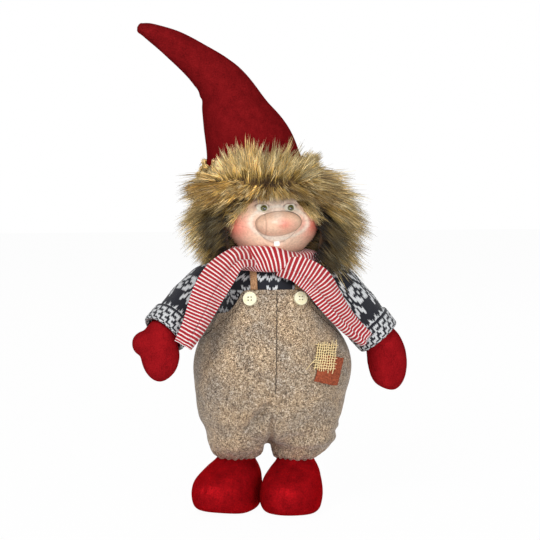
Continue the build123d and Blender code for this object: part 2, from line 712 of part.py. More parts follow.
# Legs: stuffing, dowel, hem elastic, boot, insole and weight
for side, (foot_x, foot_y, _) in FEET.items():
    with BuildPart() as leg_stuffing:
        loft(leg_sections(side, 0.0))
        loft(trunk_sections(CLOTH_GAP), mode=Mode.SUBTRACT)
        with BuildSketch(level(hem_z)):
            Rectangle(CUT, CUT)
        extrude(amount=HEM_OVERLAP + CLOTH_GAP, mode=Mode.SUBTRACT)
        with BuildSketch(level(hem_z, foot_x, foot_y)):
            Circle(LEG_DOWEL_RADIUS + FIT_GAP)
        extrude(amount=CUT, mode=Mode.SUBTRACT)
    finish(leg_stuffing.part, f"{side}_leg_stuffing")

    with BuildPart() as leg_dowel:
        with BuildSketch(level(dowel_z, foot_x, foot_y)):
            Circle(LEG_DOWEL_RADIUS)
        extrude(amount=LEG_DOWEL_LENGTH)
    finish(leg_dowel.part, f"{side}_leg_dowel")

    with BuildPart() as hem_elastic:
        elastic_z = hem_z + HEM_OVERLAP / 2
        with BuildSketch(Plane((foot_x, foot_y, elastic_z), x_dir=(1, 0, 0), z_dir=(0, -1, 0))):
            with Locations((elastic_ring_radius, 0)):
                Circle(ELASTIC_RADIUS)
        revolve(axis=Axis((foot_x, foot_y, elastic_z), (0, 0, 1)))
    finish(hem_elastic.part, f"{side}_hem_elastic")

    with BuildPart() as boot:
        loft(boot_sections(side, 0.0, 0.0))
        loft(boot_sections(side, FELT, FELT), mode=Mode.SUBTRACT)
    finish(boot.part, f"{side}_boot")

    with BuildPart() as insole:
        loft(boot_sections(side, FELT + CLOTH_GAP, FELT + SEWN_GAP))
        with BuildSketch(level(FELT + SEWN_GAP + INSOLE)):
            Rectangle(CUT, CUT)
        extrude(amount=CUT, mode=Mode.SUBTRACT)
    finish(insole.part, f"{side}_insole")

    with BuildPart() as boot_weight:
        loft(boot_sections(side, FELT + CLOTH_GAP, FELT + SEWN_GAP))
        with BuildSketch(level(dowel_z)):
            Rectangle(CUT, CUT)
        extrude(amount=-CUT, mode=Mode.SUBTRACT)
        with BuildSketch(level(dowel_z, foot_x, foot_y)):
            Circle(LEG_DOWEL_RADIUS + FIT_GAP)
        extrude(amount=CUT, mode=Mode.SUBTRACT)
    finish(boot_weight.part, f"{side}_boot_weight")

# Neck peg, fixed in the trunk, on which the head turns
with BuildPart() as neck_peg:
    with BuildSketch(level(neck_z - PEG_DEPTH)):
        Circle(PEG_RADIUS)
    extrude(amount=PEG_DEPTH + PEG_STAND)
finish(neck_peg.part, "neck_peg")

# Scarf wrap: a leaning ring, shaped by the shoulders below it and the turning head above it
wrap_centre = Vector(0, 0, collar_z + WRAP_ABOVE_COLLAR)
wrap_axis = Vector(0, -sin(radians(WRAP_LEAN)), cos(radians(WRAP_LEAN)))
with BuildPart() as scarf_wrap:
    loop_plane = Plane(wrap_centre, x_dir=(1, 0, 0), z_dir=Vector(1, 0, 0).cross(wrap_axis))
    ring_centre = loop_plane.from_local_coords(Vector(WRAP_RADIUS, 0, 0))
    ring_plane = Plane(ring_centre, x_dir=loop_plane.x_dir, z_dir=loop_plane.z_dir)
    add(oval(ring_plane, WRAP_HALF_THICKNESS, WRAP_HALF_HEIGHT))
    revolve(axis=Axis(wrap_centre, wrap_axis))
    loft(trunk_sections(strap_outer + CLOTH_GAP), mode=Mode.SUBTRACT)
    loft(head_sweep_sections(TURN_GAP), mode=Mode.SUBTRACT)
finish(scarf_wrap.part, "scarf_wrap")

# Scarf ends: curved strips with one lengthwise fold, each coming out of the wrap
for side, places in (("right", RIGHT_END_PLACES), ("left", LEFT_END_PLACES)):
    frames = scarf_planes(places)
    with BuildPart() as scarf_end:
        loft([band(frame, width, 0.0, 1.0, 0.0) for frame, width in zip(frames, SCARF_WIDTHS)])
        fold = (0.0, SCARF_FOLD) if side == "left" else (1.0 - SCARF_FOLD, 1.0)
        lift = JERSEY - SEWN_GAP
        loft([band(frame, width, *fold, lift) for frame, width in zip(frames, SCARF_WIDTHS)])
        loft(trunk_sections(strap_outer + CLOTH_GAP), mode=Mode.SUBTRACT)
        add(scarf_wrap.part, mode=Mode.SUBTRACT)
    finish(scarf_end.part, f"scarf_{side}_end")

# Head core on the peg, cut back in front for the face mask
with BuildPart() as head_core:
    loft(head_sections(0.0))
    with BuildSketch(Plane.XZ.offset(-MASK_BACK_Y - SEWN_GAP)):
        with Locations((0, crown_z + SEWN_GAP)):
            Rectangle(CUT, CUT, align=(Align.CENTER, Align.MAX))
    extrude(amount=CUT, mode=Mode.SUBTRACT)
    loft(head_sections(-MASK_WALL - SEWN_GAP))
    with BuildSketch(level(chin_z)):
        Circle(PEG_RADIUS + RUNNING_GAP)
    extrude(amount=PEG_STAND - HEAD_GAP + CLOTH_GAP, mode=Mode.SUBTRACT)
finish(head_core.part, "head_core")

nose_seat = Plane((NOSE_X, 0, nose_z), x_dir=(1, 0, 0), z_dir=(0, -1, 0))
with BuildPart() as face_mask:
    loft(head_sections(0.0))
    loft(head_sections(-MASK_WALL), mode=Mode.SUBTRACT)
    with BuildSketch(Plane.XZ.offset(-MASK_BACK_Y)):
        Rectangle(CUT * 2, CUT * 4)
    extrude(amount=-CUT, mode=Mode.SUBTRACT)
    with BuildSketch(level(crown_z)):
        Rectangle(CUT, CUT)
    extrude(amount=CUT, mode=Mode.SUBTRACT)
finish(face_mask.part, "face_mask")

# Places of the bead eyes, each sunk a little into the mask
eye_z = nose_z + EYE_ABOVE_NOSE
_, face_flat = oval_radii(BROW_HALF_WIDTH, BROW_HALF_DEPTH)
eye_spots = {}
for side, outward in SIDES.items():
    eye_x = EYE_MIDDLE_X + outward * EYE_SPACING / 2
    eye_y = face_flat - BROW_HALF_DEPTH - sqrt(face_flat**2 - eye_x**2) + EYE_SUNK
    eye_spots[side] = (eye_x, eye_y, eye_z)

# Nose: a wide bulb on the mask, hollowed where the eyes stand against it
with BuildPart() as nose:
    loft(
        [
            oval(
                nose_seat.offset(FACE_HALF_DEPTH + NOSE_HALF_LENGTH * along),
                NOSE_HALF_WIDTH * size,
                NOSE_HALF_HEIGHT * size,
            )
            for along, size in NOSE_SHARES
        ]
    )
    loft(head_sections(SEWN_GAP), mode=Mode.SUBTRACT)
    with Locations(*eye_spots.values()):
        Sphere(EYE_RADIUS + SEWN_GAP, mode=Mode.SUBTRACT)
finish(nose.part, "nose")

# Bead eyes and one tooth, each seated on the mask
for side, spot in eye_spots.items():
    with BuildPart() as eye:
        with Locations(spot):
            Sphere(EYE_RADIUS)
        loft(head_sections(SEWN_GAP), mode=Mode.SUBTRACT)
    finish(eye.part, f"{side}_eye")

with BuildPart() as tooth:
    tooth_seat = Plane((TOOTH_X, 0, nose_z - TOOTH_BELOW_NOSE), x_dir=(1, 0, 0), z_dir=(0, -1, 0))
    with BuildSketch(tooth_seat):
        with Locations(Location((0, 0, 0), (0, 0, TOOTH_LEAN))):
            RectangleRounded(TOOTH_WIDTH, TOOTH_HEIGHT, TOOTH_HEIGHT / 4)
    extrude(amount=CHEEK_HALF_DEPTH + TOOTH_THICKNESS)
    loft(head_sections(SEWN_GAP), mode=Mode.SUBTRACT)
finish(tooth.part, "tooth")

# Fur hair: an open bell cut by the head, the hat and the face
with BuildPart() as wig:
    loft(wig_sections(0.0))
    loft(wig_sections(WIG_WALL), mode=Mode.SUBTRACT)
    loft(head_sections(CLOTH_GAP), mode=Mode.SUBTRACT)
    loft(hat_sections(0, peak_start, -CLOTH_GAP), mode=Mode.SUBTRACT)
    with BuildSketch(Plane.XZ.offset(-FACE_OPENING_BACK_Y)):
        with Locations((0, wig_z)):
            SlotOverall(2 * (brow_z + FACE_OPENING_TOP - wig_z), 2 * FACE_OPENING_HALF_WIDTH, rotation=90)
    extrude(amount=CUT, mode=Mode.SUBTRACT)
finish(wig.part, "wig")

# Hat: the felt cone with its filling, dished for the ball of the peak
rim_plane = peak_ball_plane.offset(-HAT_RIM_DROP)
ball_axis = Axis(peak_ball_plane.origin, peak_ball_plane.z_dir)
with BuildPart() as hat_cone:
    loft(hat_sections(0, peak_start, 0.0))
    loft(hat_sections(0, peak_start, FELT), mode=Mode.SUBTRACT)
    with BuildSketch(rim_plane):
        Rectangle(CUT, CUT)
    extrude(amount=CUT, mode=Mode.SUBTRACT)
    add(ball_profile(peak_ball_plane, peak_ball_radius + SOCKET_GAP))
    revolve(axis=ball_axis, mode=Mode.SUBTRACT)
finish(hat_cone.part, "hat_cone")

with BuildPart() as hat_stuffing:
    loft(hat_sections(0, peak_start, FELT + CLOTH_GAP))
    with BuildSketch(level(crown_z, HAT_CONE_PLACES[0][0])):
        Circle(HAT_PLUG_RADIUS)
    extrude(amount=HAT_PLUG_HEIGHT)
    with BuildSketch(rim_plane):
        Rectangle(CUT, CUT)
    extrude(amount=CUT, mode=Mode.SUBTRACT)
    add(ball_profile(peak_ball_plane, peak_ball_radius + SOCKET_GAP))
    revolve(axis=ball_axis, mode=Mode.SUBTRACT)
    loft(head_sections(CLOTH_GAP), mode=Mode.SUBTRACT)
finish(hat_stuffing.part, "hat_stuffing")

# Hat peak: a felt ball in the cone's dish, running out into the drooping peak
peak_last = len(hat_places) - 1
with BuildPart() as hat_peak:
    loft(hat_sections(peak_start, peak_last, 0.0))
    add(ball_profile(peak_ball_plane, peak_ball_radius))
    revolve(axis=ball_axis)
    loft(hat_sections(peak_start, peak_last - 1, FELT), mode=Mode.SUBTRACT)
    add(ball_profile(peak_ball_plane, peak_ball_radius - FELT))
    revolve(axis=ball_axis, mode=Mode.SUBTRACT)
finish(hat_peak.part, "hat_peak")

with BuildPart() as peak_stuffing:
    loft(hat_sections(peak_start, peak_last - 1, FELT + CLOTH_GAP))
    add(ball_profile(peak_ball_plane, peak_ball_radius - FELT - CLOTH_GAP))
    revolve(axis=ball_axis)
finish(peak_stuffing.part, "peak_stuffing")

# Arms: shoulder pin and discs, sleeve, stuffing, mitten and its filling
for side, outward in SIDES.items():
    armhole = Plane((outward * ARMHOLE_X, 0, arm_z), x_dir=(0, 1, 0), z_dir=(outward, 0, 0))
    disc_start = CLOTH_GAP
    head_start = disc_start + ARM_DISC_THICKNESS + SEWN_GAP
    with BuildPart() as body_disc:
        with BuildSketch(armhole):
            Circle(ARM_DISC_RADIUS)
            Circle(PIN_RADIUS + SEWN_GAP, mode=Mode.SUBTRACT)
        extrude(amount=-ARM_DISC_THICKNESS)
    finish(body_disc.part, f"{side}_body_disc")

    with BuildPart() as shoulder_pin:
        with BuildSketch(armhole.offset(-ARM_DISC_THICKNESS - PIN_TAIL)):
            Circle(PIN_RADIUS)
        extrude(amount=ARM_DISC_THICKNESS + PIN_TAIL + head_start)
        with BuildSketch(armhole.offset(head_start)):
            Circle(PIN_HEAD_RADIUS)
        extrude(amount=PIN_HEAD_THICKNESS)
    finish(shoulder_pin.part, f"{side}_shoulder_pin")

    with BuildPart() as arm_disc:
        with BuildSketch(armhole.offset(disc_start)):
            Circle(ARM_DISC_RADIUS)
            Circle(PIN_RADIUS + RUNNING_GAP, mode=Mode.SUBTRACT)
        extrude(amount=ARM_DISC_THICKNESS)
    finish(arm_disc.part, f"{side}_arm_disc")

    root = shoulder_frame(side)
    ball_centre = root.from_local_coords(Vector(SHOULDER_BALL_OUT, 0, 0))
    with BuildPart() as sleeve:
        with Locations(ball_centre):
            Sphere(SHOULDER_BALL_RADIUS)
        loft(sleeve_sections(side, 0.0, sleeve_length))
        loft(
            [
                sleeve_disc(side, sleeve_length - CUFF_LENGTH, SLEEVE_RADIUS + CUFF_STEP / 2),
                sleeve_disc(side, sleeve_length, WRIST_RADIUS + CUFF_STEP),
            ]
        )
        with Locations(ball_centre):
            Sphere(SHOULDER_BALL_RADIUS - KNIT, mode=Mode.SUBTRACT)
        loft(sleeve_sections(side, KNIT, sleeve_length), mode=Mode.SUBTRACT)
        with BuildSketch(armhole.offset(CLOTH_GAP)):
            Rectangle(CUT, CUT)
        extrude(amount=-CUT, mode=Mode.SUBTRACT)
    finish(sleeve.part, f"{side}_sleeve")

    with BuildPart() as arm_stuffing:
        with Locations(ball_centre):
            Sphere(SHOULDER_BALL_RADIUS - KNIT - CLOTH_GAP)
        loft(sleeve_sections(side, KNIT + CLOTH_GAP, sleeve_length - MITTEN_TUCK - CLOTH_GAP))
        with BuildSketch(armhole.offset(CLOTH_GAP)):
            Rectangle(CUT, CUT)
        extrude(amount=-CUT, mode=Mode.SUBTRACT)
        with BuildSketch(armhole):
            Circle(ARM_DISC_RADIUS + FIT_GAP)
        extrude(amount=head_start, mode=Mode.SUBTRACT)
        with BuildSketch(armhole):
            Circle(PIN_HEAD_RADIUS + CLOTH_GAP)
        extrude(amount=head_start + PIN_HEAD_THICKNESS + CLOTH_GAP, mode=Mode.SUBTRACT)
    finish(arm_stuffing.part, f"{side}_arm_stuffing")

    with BuildPart() as mitten:
        loft(mitten_sections(side, 0.0))
        loft(thumb_sections(side))
        loft(mitten_sections(side, FELT), mode=Mode.SUBTRACT)
    finish(mitten.part, f"{side}_mitten")

    with BuildPart() as hand_stuffing:
        loft(mitten_sections(side, FELT + CLOTH_GAP))
    finish(hand_stuffing.part, f"{side}_hand_stuffing")
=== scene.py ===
import math
import random

import bmesh
import bpy
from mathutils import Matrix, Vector, noise
from mathutils.bvhtree import BVHTree


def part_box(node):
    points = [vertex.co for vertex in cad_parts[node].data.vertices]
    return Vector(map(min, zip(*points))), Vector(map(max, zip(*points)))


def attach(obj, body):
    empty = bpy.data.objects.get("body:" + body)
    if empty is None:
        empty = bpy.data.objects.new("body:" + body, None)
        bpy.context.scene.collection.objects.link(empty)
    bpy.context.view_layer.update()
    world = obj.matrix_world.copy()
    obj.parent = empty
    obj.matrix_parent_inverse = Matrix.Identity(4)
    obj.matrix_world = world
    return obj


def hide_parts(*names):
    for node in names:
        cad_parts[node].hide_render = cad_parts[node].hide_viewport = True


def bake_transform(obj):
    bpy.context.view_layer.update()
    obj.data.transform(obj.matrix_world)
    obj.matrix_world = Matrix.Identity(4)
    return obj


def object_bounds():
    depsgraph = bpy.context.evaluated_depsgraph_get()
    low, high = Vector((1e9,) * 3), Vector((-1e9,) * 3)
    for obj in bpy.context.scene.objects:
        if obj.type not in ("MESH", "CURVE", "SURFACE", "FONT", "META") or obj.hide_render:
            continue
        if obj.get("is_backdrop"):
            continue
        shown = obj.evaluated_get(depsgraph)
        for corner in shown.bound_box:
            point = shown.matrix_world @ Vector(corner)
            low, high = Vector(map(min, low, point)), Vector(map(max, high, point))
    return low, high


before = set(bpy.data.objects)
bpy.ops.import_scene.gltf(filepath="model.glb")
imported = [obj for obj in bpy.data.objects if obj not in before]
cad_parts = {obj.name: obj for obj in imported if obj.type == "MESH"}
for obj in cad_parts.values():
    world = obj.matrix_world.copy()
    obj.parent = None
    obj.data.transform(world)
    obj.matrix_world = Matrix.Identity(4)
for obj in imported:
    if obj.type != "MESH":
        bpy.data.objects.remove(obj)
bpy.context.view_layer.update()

# A stuffed folk troll: felt, tweed, knit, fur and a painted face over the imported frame.
# Shapes are written in millimetres, with the face along -Y, and laid down in metres.
MM = 0.001
TURN = 2 * math.pi
SIDES = {"right": -1, "left": 1}

# Rounds of the trunk under the cloth: height, half width, half depth
TRUNK = [(66, 38, 31), (84, 58, 44), (104, 63, 48.5), (134, 67, 51), (156, 62, 49), (180, 48.5, 43),
         (199, 48, 38.5), (214, 53, 34), (226, 36, 25), (233, 18.5, 18.5)]
TWEED_OUT = 5.4
KNIT_OUT = 2.9
STRAP_OUT = 5.1
FEET = {"right": (-31.0, 4.0, -36.0), "left": (22.5, -4.0, -18.0)}
LEG_OUT = 28.0
SWING = {"right": 35.0, "left": 0.0}
SHOULDER_X = 49.8
SHOULDER_Z = 207.0


# Small tools
def clamp(value, low=0.0, high=1.0):
    return max(low, min(high, value))


def ease(low, high, value):
    """A smooth step from 0 at low to 1 at high."""
    share = clamp((value - low) / (high - low))
    return share * share * (3 - 2 * share)


def mound(distance, width):
    """A soft round hump, 1 at its middle."""
    return math.exp(-(distance / width) ** 2)


def smooth_row(rows, share):
    """Values part of the way along evenly spaced rows, on a smooth curve through them."""
    place = clamp(share) * (len(rows) - 1)
    index = min(int(place), len(rows) - 2)
    t = place - index
    before, start = rows[max(index - 1, 0)], rows[index]
    end, after = rows[index + 1], rows[min(index + 2, len(rows) - 1)]
    return [
        0.5 * (2 * b + (c - a) * t + (2 * a - 5 * b + 4 * c - d) * t * t + (3 * b - a - 3 * c + d) * t**3)
        for a, b, c, d in zip(before, start, end, after)
    ]


def at_height(rounds, z):
    """Half width and half depth of a stack of rounds at a height."""
    if z <= rounds[0][0]:
        return rounds[0][1:]
    for index in range(len(rounds) - 1):
        if z <= rounds[index + 1][0]:
            low, high = rounds[index], rounds[index + 1]
            before, after = rounds[max(index - 1, 0)], rounds[min(index + 2, len(rounds) - 1)]
            span = high[0] - low[0]
            t = (z - low[0]) / span
            found = []
            for k in range(1, len(low)):
                leave = (high[k] - before[k]) / (high[0] - before[0]) * span
                reach = (after[k] - low[k]) / (after[0] - low[0]) * span
                found.append((2 * t**3 - 3 * t**2 + 1) * low[k] + (t**3 - 2 * t**2 + t) * leave
                             + (3 * t**2 - 2 * t**3) * high[k] + (t**3 - t**2) * reach)
            return found
    return rounds[-1][1:]


def ripple(point, size, seed=0.0):
    """Soft random folds, about -1 to 1, at a size in millimetres."""
    return noise.noise(Vector(point) / size + Vector((seed, 3.1 * seed, 7.7)))


def lay(name, columns, rows, place, attributes=None, close=True):
    """A grid of cloth laid over a form: place(u, v) gives each point in millimetres."""
    bm = bmesh.new()
    bmesh.ops.create_grid(bm, x_segments=columns, y_segments=rows, size=0.5)
    uv = bm.loops.layers.uv.new("UVMap")
    for face in bm.faces:
        for loop in face.loops:
            loop[uv].uv = (loop.vert.co.x + 0.5, loop.vert.co.y + 0.5)
    layers = {key: bm.verts.layers.float_color.new(key) for key in attributes or {}}
    for vert in bm.verts:
        u = vert.co.x + 0.5
        v = vert.co.y + 0.5
        for key, layer in layers.items():
            vert[layer] = attributes[key](u, v)
        vert.co = Vector(place(u, v)) * MM
    if close:
        bmesh.ops.remove_doubles(bm, verts=bm.verts, dist=1e-6)
    bmesh.ops.recalc_face_normals(bm, faces=bm.faces)
    return piece_from(name, bm)


def piece_from(name, bm):
    """Turn a bmesh into a smooth-shaded piece."""
    mesh = bpy.data.meshes.new(name)
    bm.to_mesh(mesh)
    bm.free()
    mesh.shade_smooth()
    made = bpy.data.objects.new(name, mesh)
    bpy.context.scene.collection.objects.link(made)
    return made


def bake(piece):
    """Replace a piece's mesh by what its modifiers make of it."""
    view = bpy.context.evaluated_depsgraph_get()
    mesh = bpy.data.meshes.new_from_object(piece.evaluated_get(view))
    piece.modifiers.clear()
    piece.data = mesh
    mesh.shade_smooth()
    return piece


def melt(name, pieces, voxel, rounds):
    """Join closed pieces into one skin, then smooth it."""
    bm = bmesh.new()
    for piece in pieces:
        bm.from_mesh(piece.data)
        bpy.data.objects.remove(piece)
    made = piece_from(name, bm)
    skin = made.modifiers.new("Skin", "REMESH")
    skin.mode = "VOXEL"
    skin.voxel_size = voxel * MM
    soft = made.modifiers.new("Soft", "SMOOTH")
    soft.iterations = rounds
    soft.factor = 0.5
    return bake(made)


def push(piece, lift):
    """Move each point along its normal by lift(point, normal) millimetres."""
    normals = [v.normal.copy() for v in piece.data.vertices]
    for vert, normal in zip(piece.data.vertices, normals):
        vert.co += normal * lift(vert.co / MM, normal) * MM
    piece.data.update()


def dress(piece, body, finish, slot, *nodes):
    """Give a piece its body, finish and the CAD nodes that it stands for."""
    piece.data.materials.clear()
    piece.data.materials.append(finish)
    if body:
        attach(piece, body)
    if nodes:
        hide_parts(*nodes)
    return piece


# Shader tools
def paint(red, green, blue):
    """A screen colour from 0 to 255, as the linear colour that a shader takes."""
    shares = (red / 255, green / 255, blue / 255)
    linear = [c / 12.92 if c <= 0.04045 else ((c + 0.055) / 1.055) ** 2.4 for c in shares]
    return (*linear, 1.0)


class Finish:
    """A material with its nodes, built up step by step."""

    def __init__(self, name, roughness=0.8, sheen=0.0, coat=0.0):
        self.material = bpy.data.materials.new(name)
        self.material.use_nodes = True
        self.tree = self.material.node_tree
        self.shader = self.tree.nodes["Principled BSDF"]
        self.shader.inputs["Roughness"].default_value = roughness
        self.shader.inputs["Sheen Weight"].default_value = sheen
        self.shader.inputs["Coat Weight"].default_value = coat

    def join(self, source, target):
        if hasattr(source, "is_output"):
            self.tree.links.new(source, target)
        else:
            target.default_value = source

    def add(self, kind, **inputs):
        made = self.tree.nodes.new("ShaderNode" + kind)
        for key, value in inputs.items():
            self.join(value, made.inputs[key.replace("_", " ").title()])
        return made

    def where(self):
        return self.add("TexCoord").outputs["Object"]

    def spots(self, scale, detail=3.0, rough=0.6):
        made = self.add("TexNoise", Vector=self.where(), Scale=scale, Detail=detail, Roughness=rough)
        return made.outputs["Fac"]

    def ramp(self, factor, stops):
        made = self.add("ValToRGB", Fac=factor)
        band = made.color_ramp
        while len(band.elements) < len(stops):
            band.elements.new(0.5)
        for element, (place, colour) in zip(band.elements, stops):
            element.position = place
            element.color = colour
        return made.outputs["Color"]

    def math(self, what, a, b=0.0):
        made = self.add("Math")
        made.operation = what
        self.join(a, made.inputs[0])
        self.join(b, made.inputs[1])
        return made.outputs[0]

    def mix(self, factor, a, b, how="MIX"):
        made = self.add("Mix")
        made.data_type = "RGBA"
        made.blend_type = how
        self.join(factor, made.inputs[0])
        self.join(a, made.inputs[6])
        self.join(b, made.inputs[7])
        return made.outputs[2]

    def colour(self, source):
        self.join(source, self.shader.inputs["Base Color"])
        return self

    def bump(self, height, strength, depth):
        made = self.add("Bump", Height=height, Strength=strength, Distance=depth * MM)
        self.join(made.outputs["Normal"], self.shader.inputs["Normal"])
        return self

    def attribute(self, name):
        made = self.add("Attribute")
        made.attribute_name = name
        return made.outputs["Color"]


def felt_finish(name, dark, mid, light, shine, dents=0.0):
    """Wool felt: matted fibres with lighter and darker flecks, and satin dents where it is pressed."""
    felt = Finish(name, roughness=shine)
    felt.shader.inputs["Specular IOR Level"].default_value = 0.0
    felt.shader.inputs["Specular Tint"].default_value = (0.8, 0.05, 0.05, 1)
    if dents:
        felt.shader.inputs["Metallic"].default_value = 0.3
    fibre = felt.spots(900.0, 5.0, 0.75)
    cloud = felt.spots(110.0, 3.0, 0.6)
    both = felt.math("ADD", felt.math("MULTIPLY", fibre, 0.7), felt.math("MULTIPLY", cloud, 0.3))
    felt.colour(felt.ramp(both, [(0.36, dark), (0.5, mid), (0.66, light)]))
    if dents:
        dented = felt.math("MULTIPLY", felt.spots(240.0), dents)
        fibre = felt.math("ADD", felt.math("MULTIPLY", fibre, 0.35), dented)
    return felt.bump(fibre, 0.4, 0.5 + dents).material


red_felt = felt_finish("red_felt_hat", paint(82, 12, 15), paint(113, 18, 21), paint(134, 26, 29), 0.85)
boot_felt = felt_finish("red_felt_boots", paint(108, 10, 15), paint(146, 14, 21), paint(180, 19, 26),
                        0.4, dents=1.2)
mitten_felt = felt_finish("red_felt_mittens", paint(110, 14, 19), paint(142, 20, 26), paint(166, 27, 32),
                          0.7)


def tweed_finish():
    """Brown and grey melange tweed: flecks of several yarns, with a fine bump from the same flecks."""
    tweed = Finish("tweed", roughness=0.92, sheen=0.25)
    fleck = tweed.spots(1250.0, 2.0, 0.55)
    coarse = tweed.spots(420.0, 3.0, 0.6)
    blend = tweed.math("ADD", tweed.math("MULTIPLY", fleck, 0.66), tweed.math("MULTIPLY", coarse, 0.34))
    yarns = [(0.37, paint(58, 48, 40)), (0.44, paint(114, 97, 81)), (0.5, paint(166, 146, 122)),
             (0.56, paint(206, 190, 166)), (0.64, paint(252, 246, 234))]
    warm = tweed.ramp(tweed.spots(40.0, 3.0), [(0.35, paint(218, 216, 216)), (0.65, paint(255, 242, 224))])
    tweed.colour(tweed.mix(1.0, tweed.ramp(blend, yarns), warm, "MULTIPLY"))
    return tweed.bump(blend, 0.6, 0.7).material


def knit_finish():
    """Two-colour wool knit: the stitch's own colour, with a little yarn fuzz."""
    knit = Finish("nordic_knit", roughness=0.95, sheen=0.2)
    fuzz = knit.spots(1500.0, 3.0, 0.7)
    shade = knit.ramp(fuzz, [(0.3, paint(196, 196, 196)), (0.7, paint(255, 255, 255))])
    knit.colour(knit.mix(1.0, knit.attribute("yarn"), shade, "MULTIPLY"))
    return knit.bump(fuzz, 0.3, 0.4).material


def jersey_finish():
    """Fine red and white striped jersey: stripes follow the attribute laid along the strip."""
    jersey = Finish("striped_jersey", roughness=0.85, sheen=0.15)
    along = jersey.add("SeparateColor", Color=jersey.attribute("stripe")).outputs[0]
    wave = jersey.math("FRACT", jersey.math("MULTIPLY", along, 100.0))
    stripes = jersey.ramp(wave, [(0.0, paint(168, 6, 26)), (0.62, paint(176, 10, 30)),
                                 (0.69, paint(246, 234, 232)), (0.94, paint(250, 240, 238))])
    rib = jersey.spots(1400.0, 2.0)
    worn = jersey.ramp(rib, [(0.3, paint(214, 206, 206)), (0.7, paint(255, 255, 255))])
    jersey.colour(jersey.mix(1.0, stripes, worn, "MULTIPLY"))
    return jersey.bump(jersey.math("ADD", wave, rib), 0.3, 0.4).material


def tint_finish(name, attribute, roughness, sheen=0.0, fine=900.0, depth=0.2, coat=0.0):
    """A finish that takes its colour from the piece's own painted points."""
    tint = Finish(name, roughness=roughness, sheen=sheen, coat=coat)
    grain = tint.spots(fine, 3.0)
    shade = tint.ramp(grain, [(0.3, paint(226, 222, 220)), (0.7, paint(255, 255, 255))])
    tint.colour(tint.mix(1.0, tint.attribute(attribute), shade, "MULTIPLY"))
    return tint.bump(grain, 0.2, depth).material


def plain_finish(name, dark, light, roughness, scale, depth, coat=0.0):
    """A two-tone finish with grain."""
    plain = Finish(name, roughness=roughness, coat=coat)
    grain = plain.spots(scale, 4.0)
    plain.colour(plain.ramp(grain, [(0.35, dark), (0.65, light)]))
    return plain.bump(grain, 0.35, depth).material


tweed = tweed_finish()
wool = knit_finish()
jersey = jersey_finish()
fur = tint_finish("fur_pile", "tint", 0.55, sheen=0.1, fine=2500.0)
fur.node_tree.nodes["Principled BSDF"].inputs["Specular IOR Level"].default_value = 0.2
skin = tint_finish("painted_face", "skin", 0.42, fine=500.0, depth=0.15, coat=0.15)
jute = plain_finish("jute_braid", paint(132, 92, 60), paint(196, 152, 112), 0.9, 900.0, 0.8)
burlap = plain_finish("burlap_thread", paint(216, 184, 128), paint(255, 236, 186), 0.9, 1400.0, 0.4)
rust = plain_finish("rust_felt", paint(112, 46, 24), paint(176, 88, 54), 0.95, 700.0, 0.8)
# The burlap's cloth is dark brown, painted as the shade in the gaps between its threads
burlap_shade = plain_finish("burlap_cloth_gap_shade", paint(96, 78, 56), paint(140, 116, 84), 0.95, 1400.0, 0.4)
# Dark brown for the centre seam and the bib's stitching, painted as the shade along the sewn lines
seam_shade = plain_finish("seam_line", paint(58, 48, 40), paint(92, 78, 66), 0.95, 1500.0, 0.2)
dowel = plain_finish("dowel_wood", paint(196, 160, 112), paint(222, 190, 144), 0.6, 120.0, 0.1)
nylon = plain_finish("joint_plastic", paint(226, 224, 214), paint(240, 238, 230), 0.45, 200.0, 0.05)
horn = plain_finish("button_cream", paint(240, 234, 196), paint(250, 247, 218), 0.32, 220.0, 0.05, coat=0.3)
enamel = plain_finish("tooth_white", paint(244, 240, 228), paint(252, 250, 244), 0.25, 300.0, 0.05, coat=0.4)


# Hat: one felt skin that bends at the kink between its cone and its peak
HAT_LINE = [(-13.5, 304, 46.5), (-14.5, 308, 45.8), (-20, 333.5, 41), (-31, 359.5, 32.5), (-42, 384.5, 24.5),
            (-52.5, 398.5, 20.2), (-68, 412, 16.6), (-88, 426, 12.8), (-108, 437, 8.2), (-117.5, 440.5, 4.8)]
HAT_TIP = 3.5


def hat_place(u, v):
    along = min(v / 0.97, 1.0)
    x, z, radius = smooth_row(HAT_LINE, along)
    next_x, next_z, _ = smooth_row(HAT_LINE, along + 0.01)
    last_x, last_z, _ = smooth_row(HAT_LINE, along - 0.01)
    run = Vector((next_x - last_x, 0, next_z - last_z)).normalized()
    cap = clamp((v - 0.97) / 0.03)
    radius *= math.sqrt(max(1 - cap * cap, 0.0))
    out = Vector((run.z, 0, -run.x))
    angle = u * TURN
    way = out * math.cos(angle) + Vector((0, 1, 0)) * math.sin(angle)
    inner = clamp(-math.cos(angle))
    crease = 1.6 * inner**2 * (mound(along - 0.46, 0.035) + 0.6 * mound(along - 0.55, 0.03))
    folds = 0.9 * ripple((x + 30 * math.cos(angle), 30 * math.sin(angle), z), 28.0, 1.0)
    return Vector((x, 0, z)) + run * (cap * HAT_TIP) + way * max(radius + (folds - crease) * (1 - cap), 0.0)


hat = lay("hat", 96, 150, hat_place)
dress(hat, None, red_felt, "red_felt", "hat_cone", "hat_peak", "hat_stuffing", "peak_stuffing")
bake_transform(hat)


# Boots: round felt shoes, flat under the sole, with a seam up the toe
BOOT = [(0, 0, 0, 18), (0, 12, 19, 18), (0.0, 20, 31.5, 18), (2.2, 24.6, 37.6, 18), (7, 27, 41, 18),
        (14, 28, 42, 18), (21, 27.8, 41.4, 17.5), (28, 26.8, 39.4, 16), (34, 25, 35.4, 12.5),
        (40, 21.6, 28.4, 7.5), (46, 17.4, 19, 2), (52, 16, 16, 0)]
TOE_SPRING = {"right": 5.0, "left": 3.5}


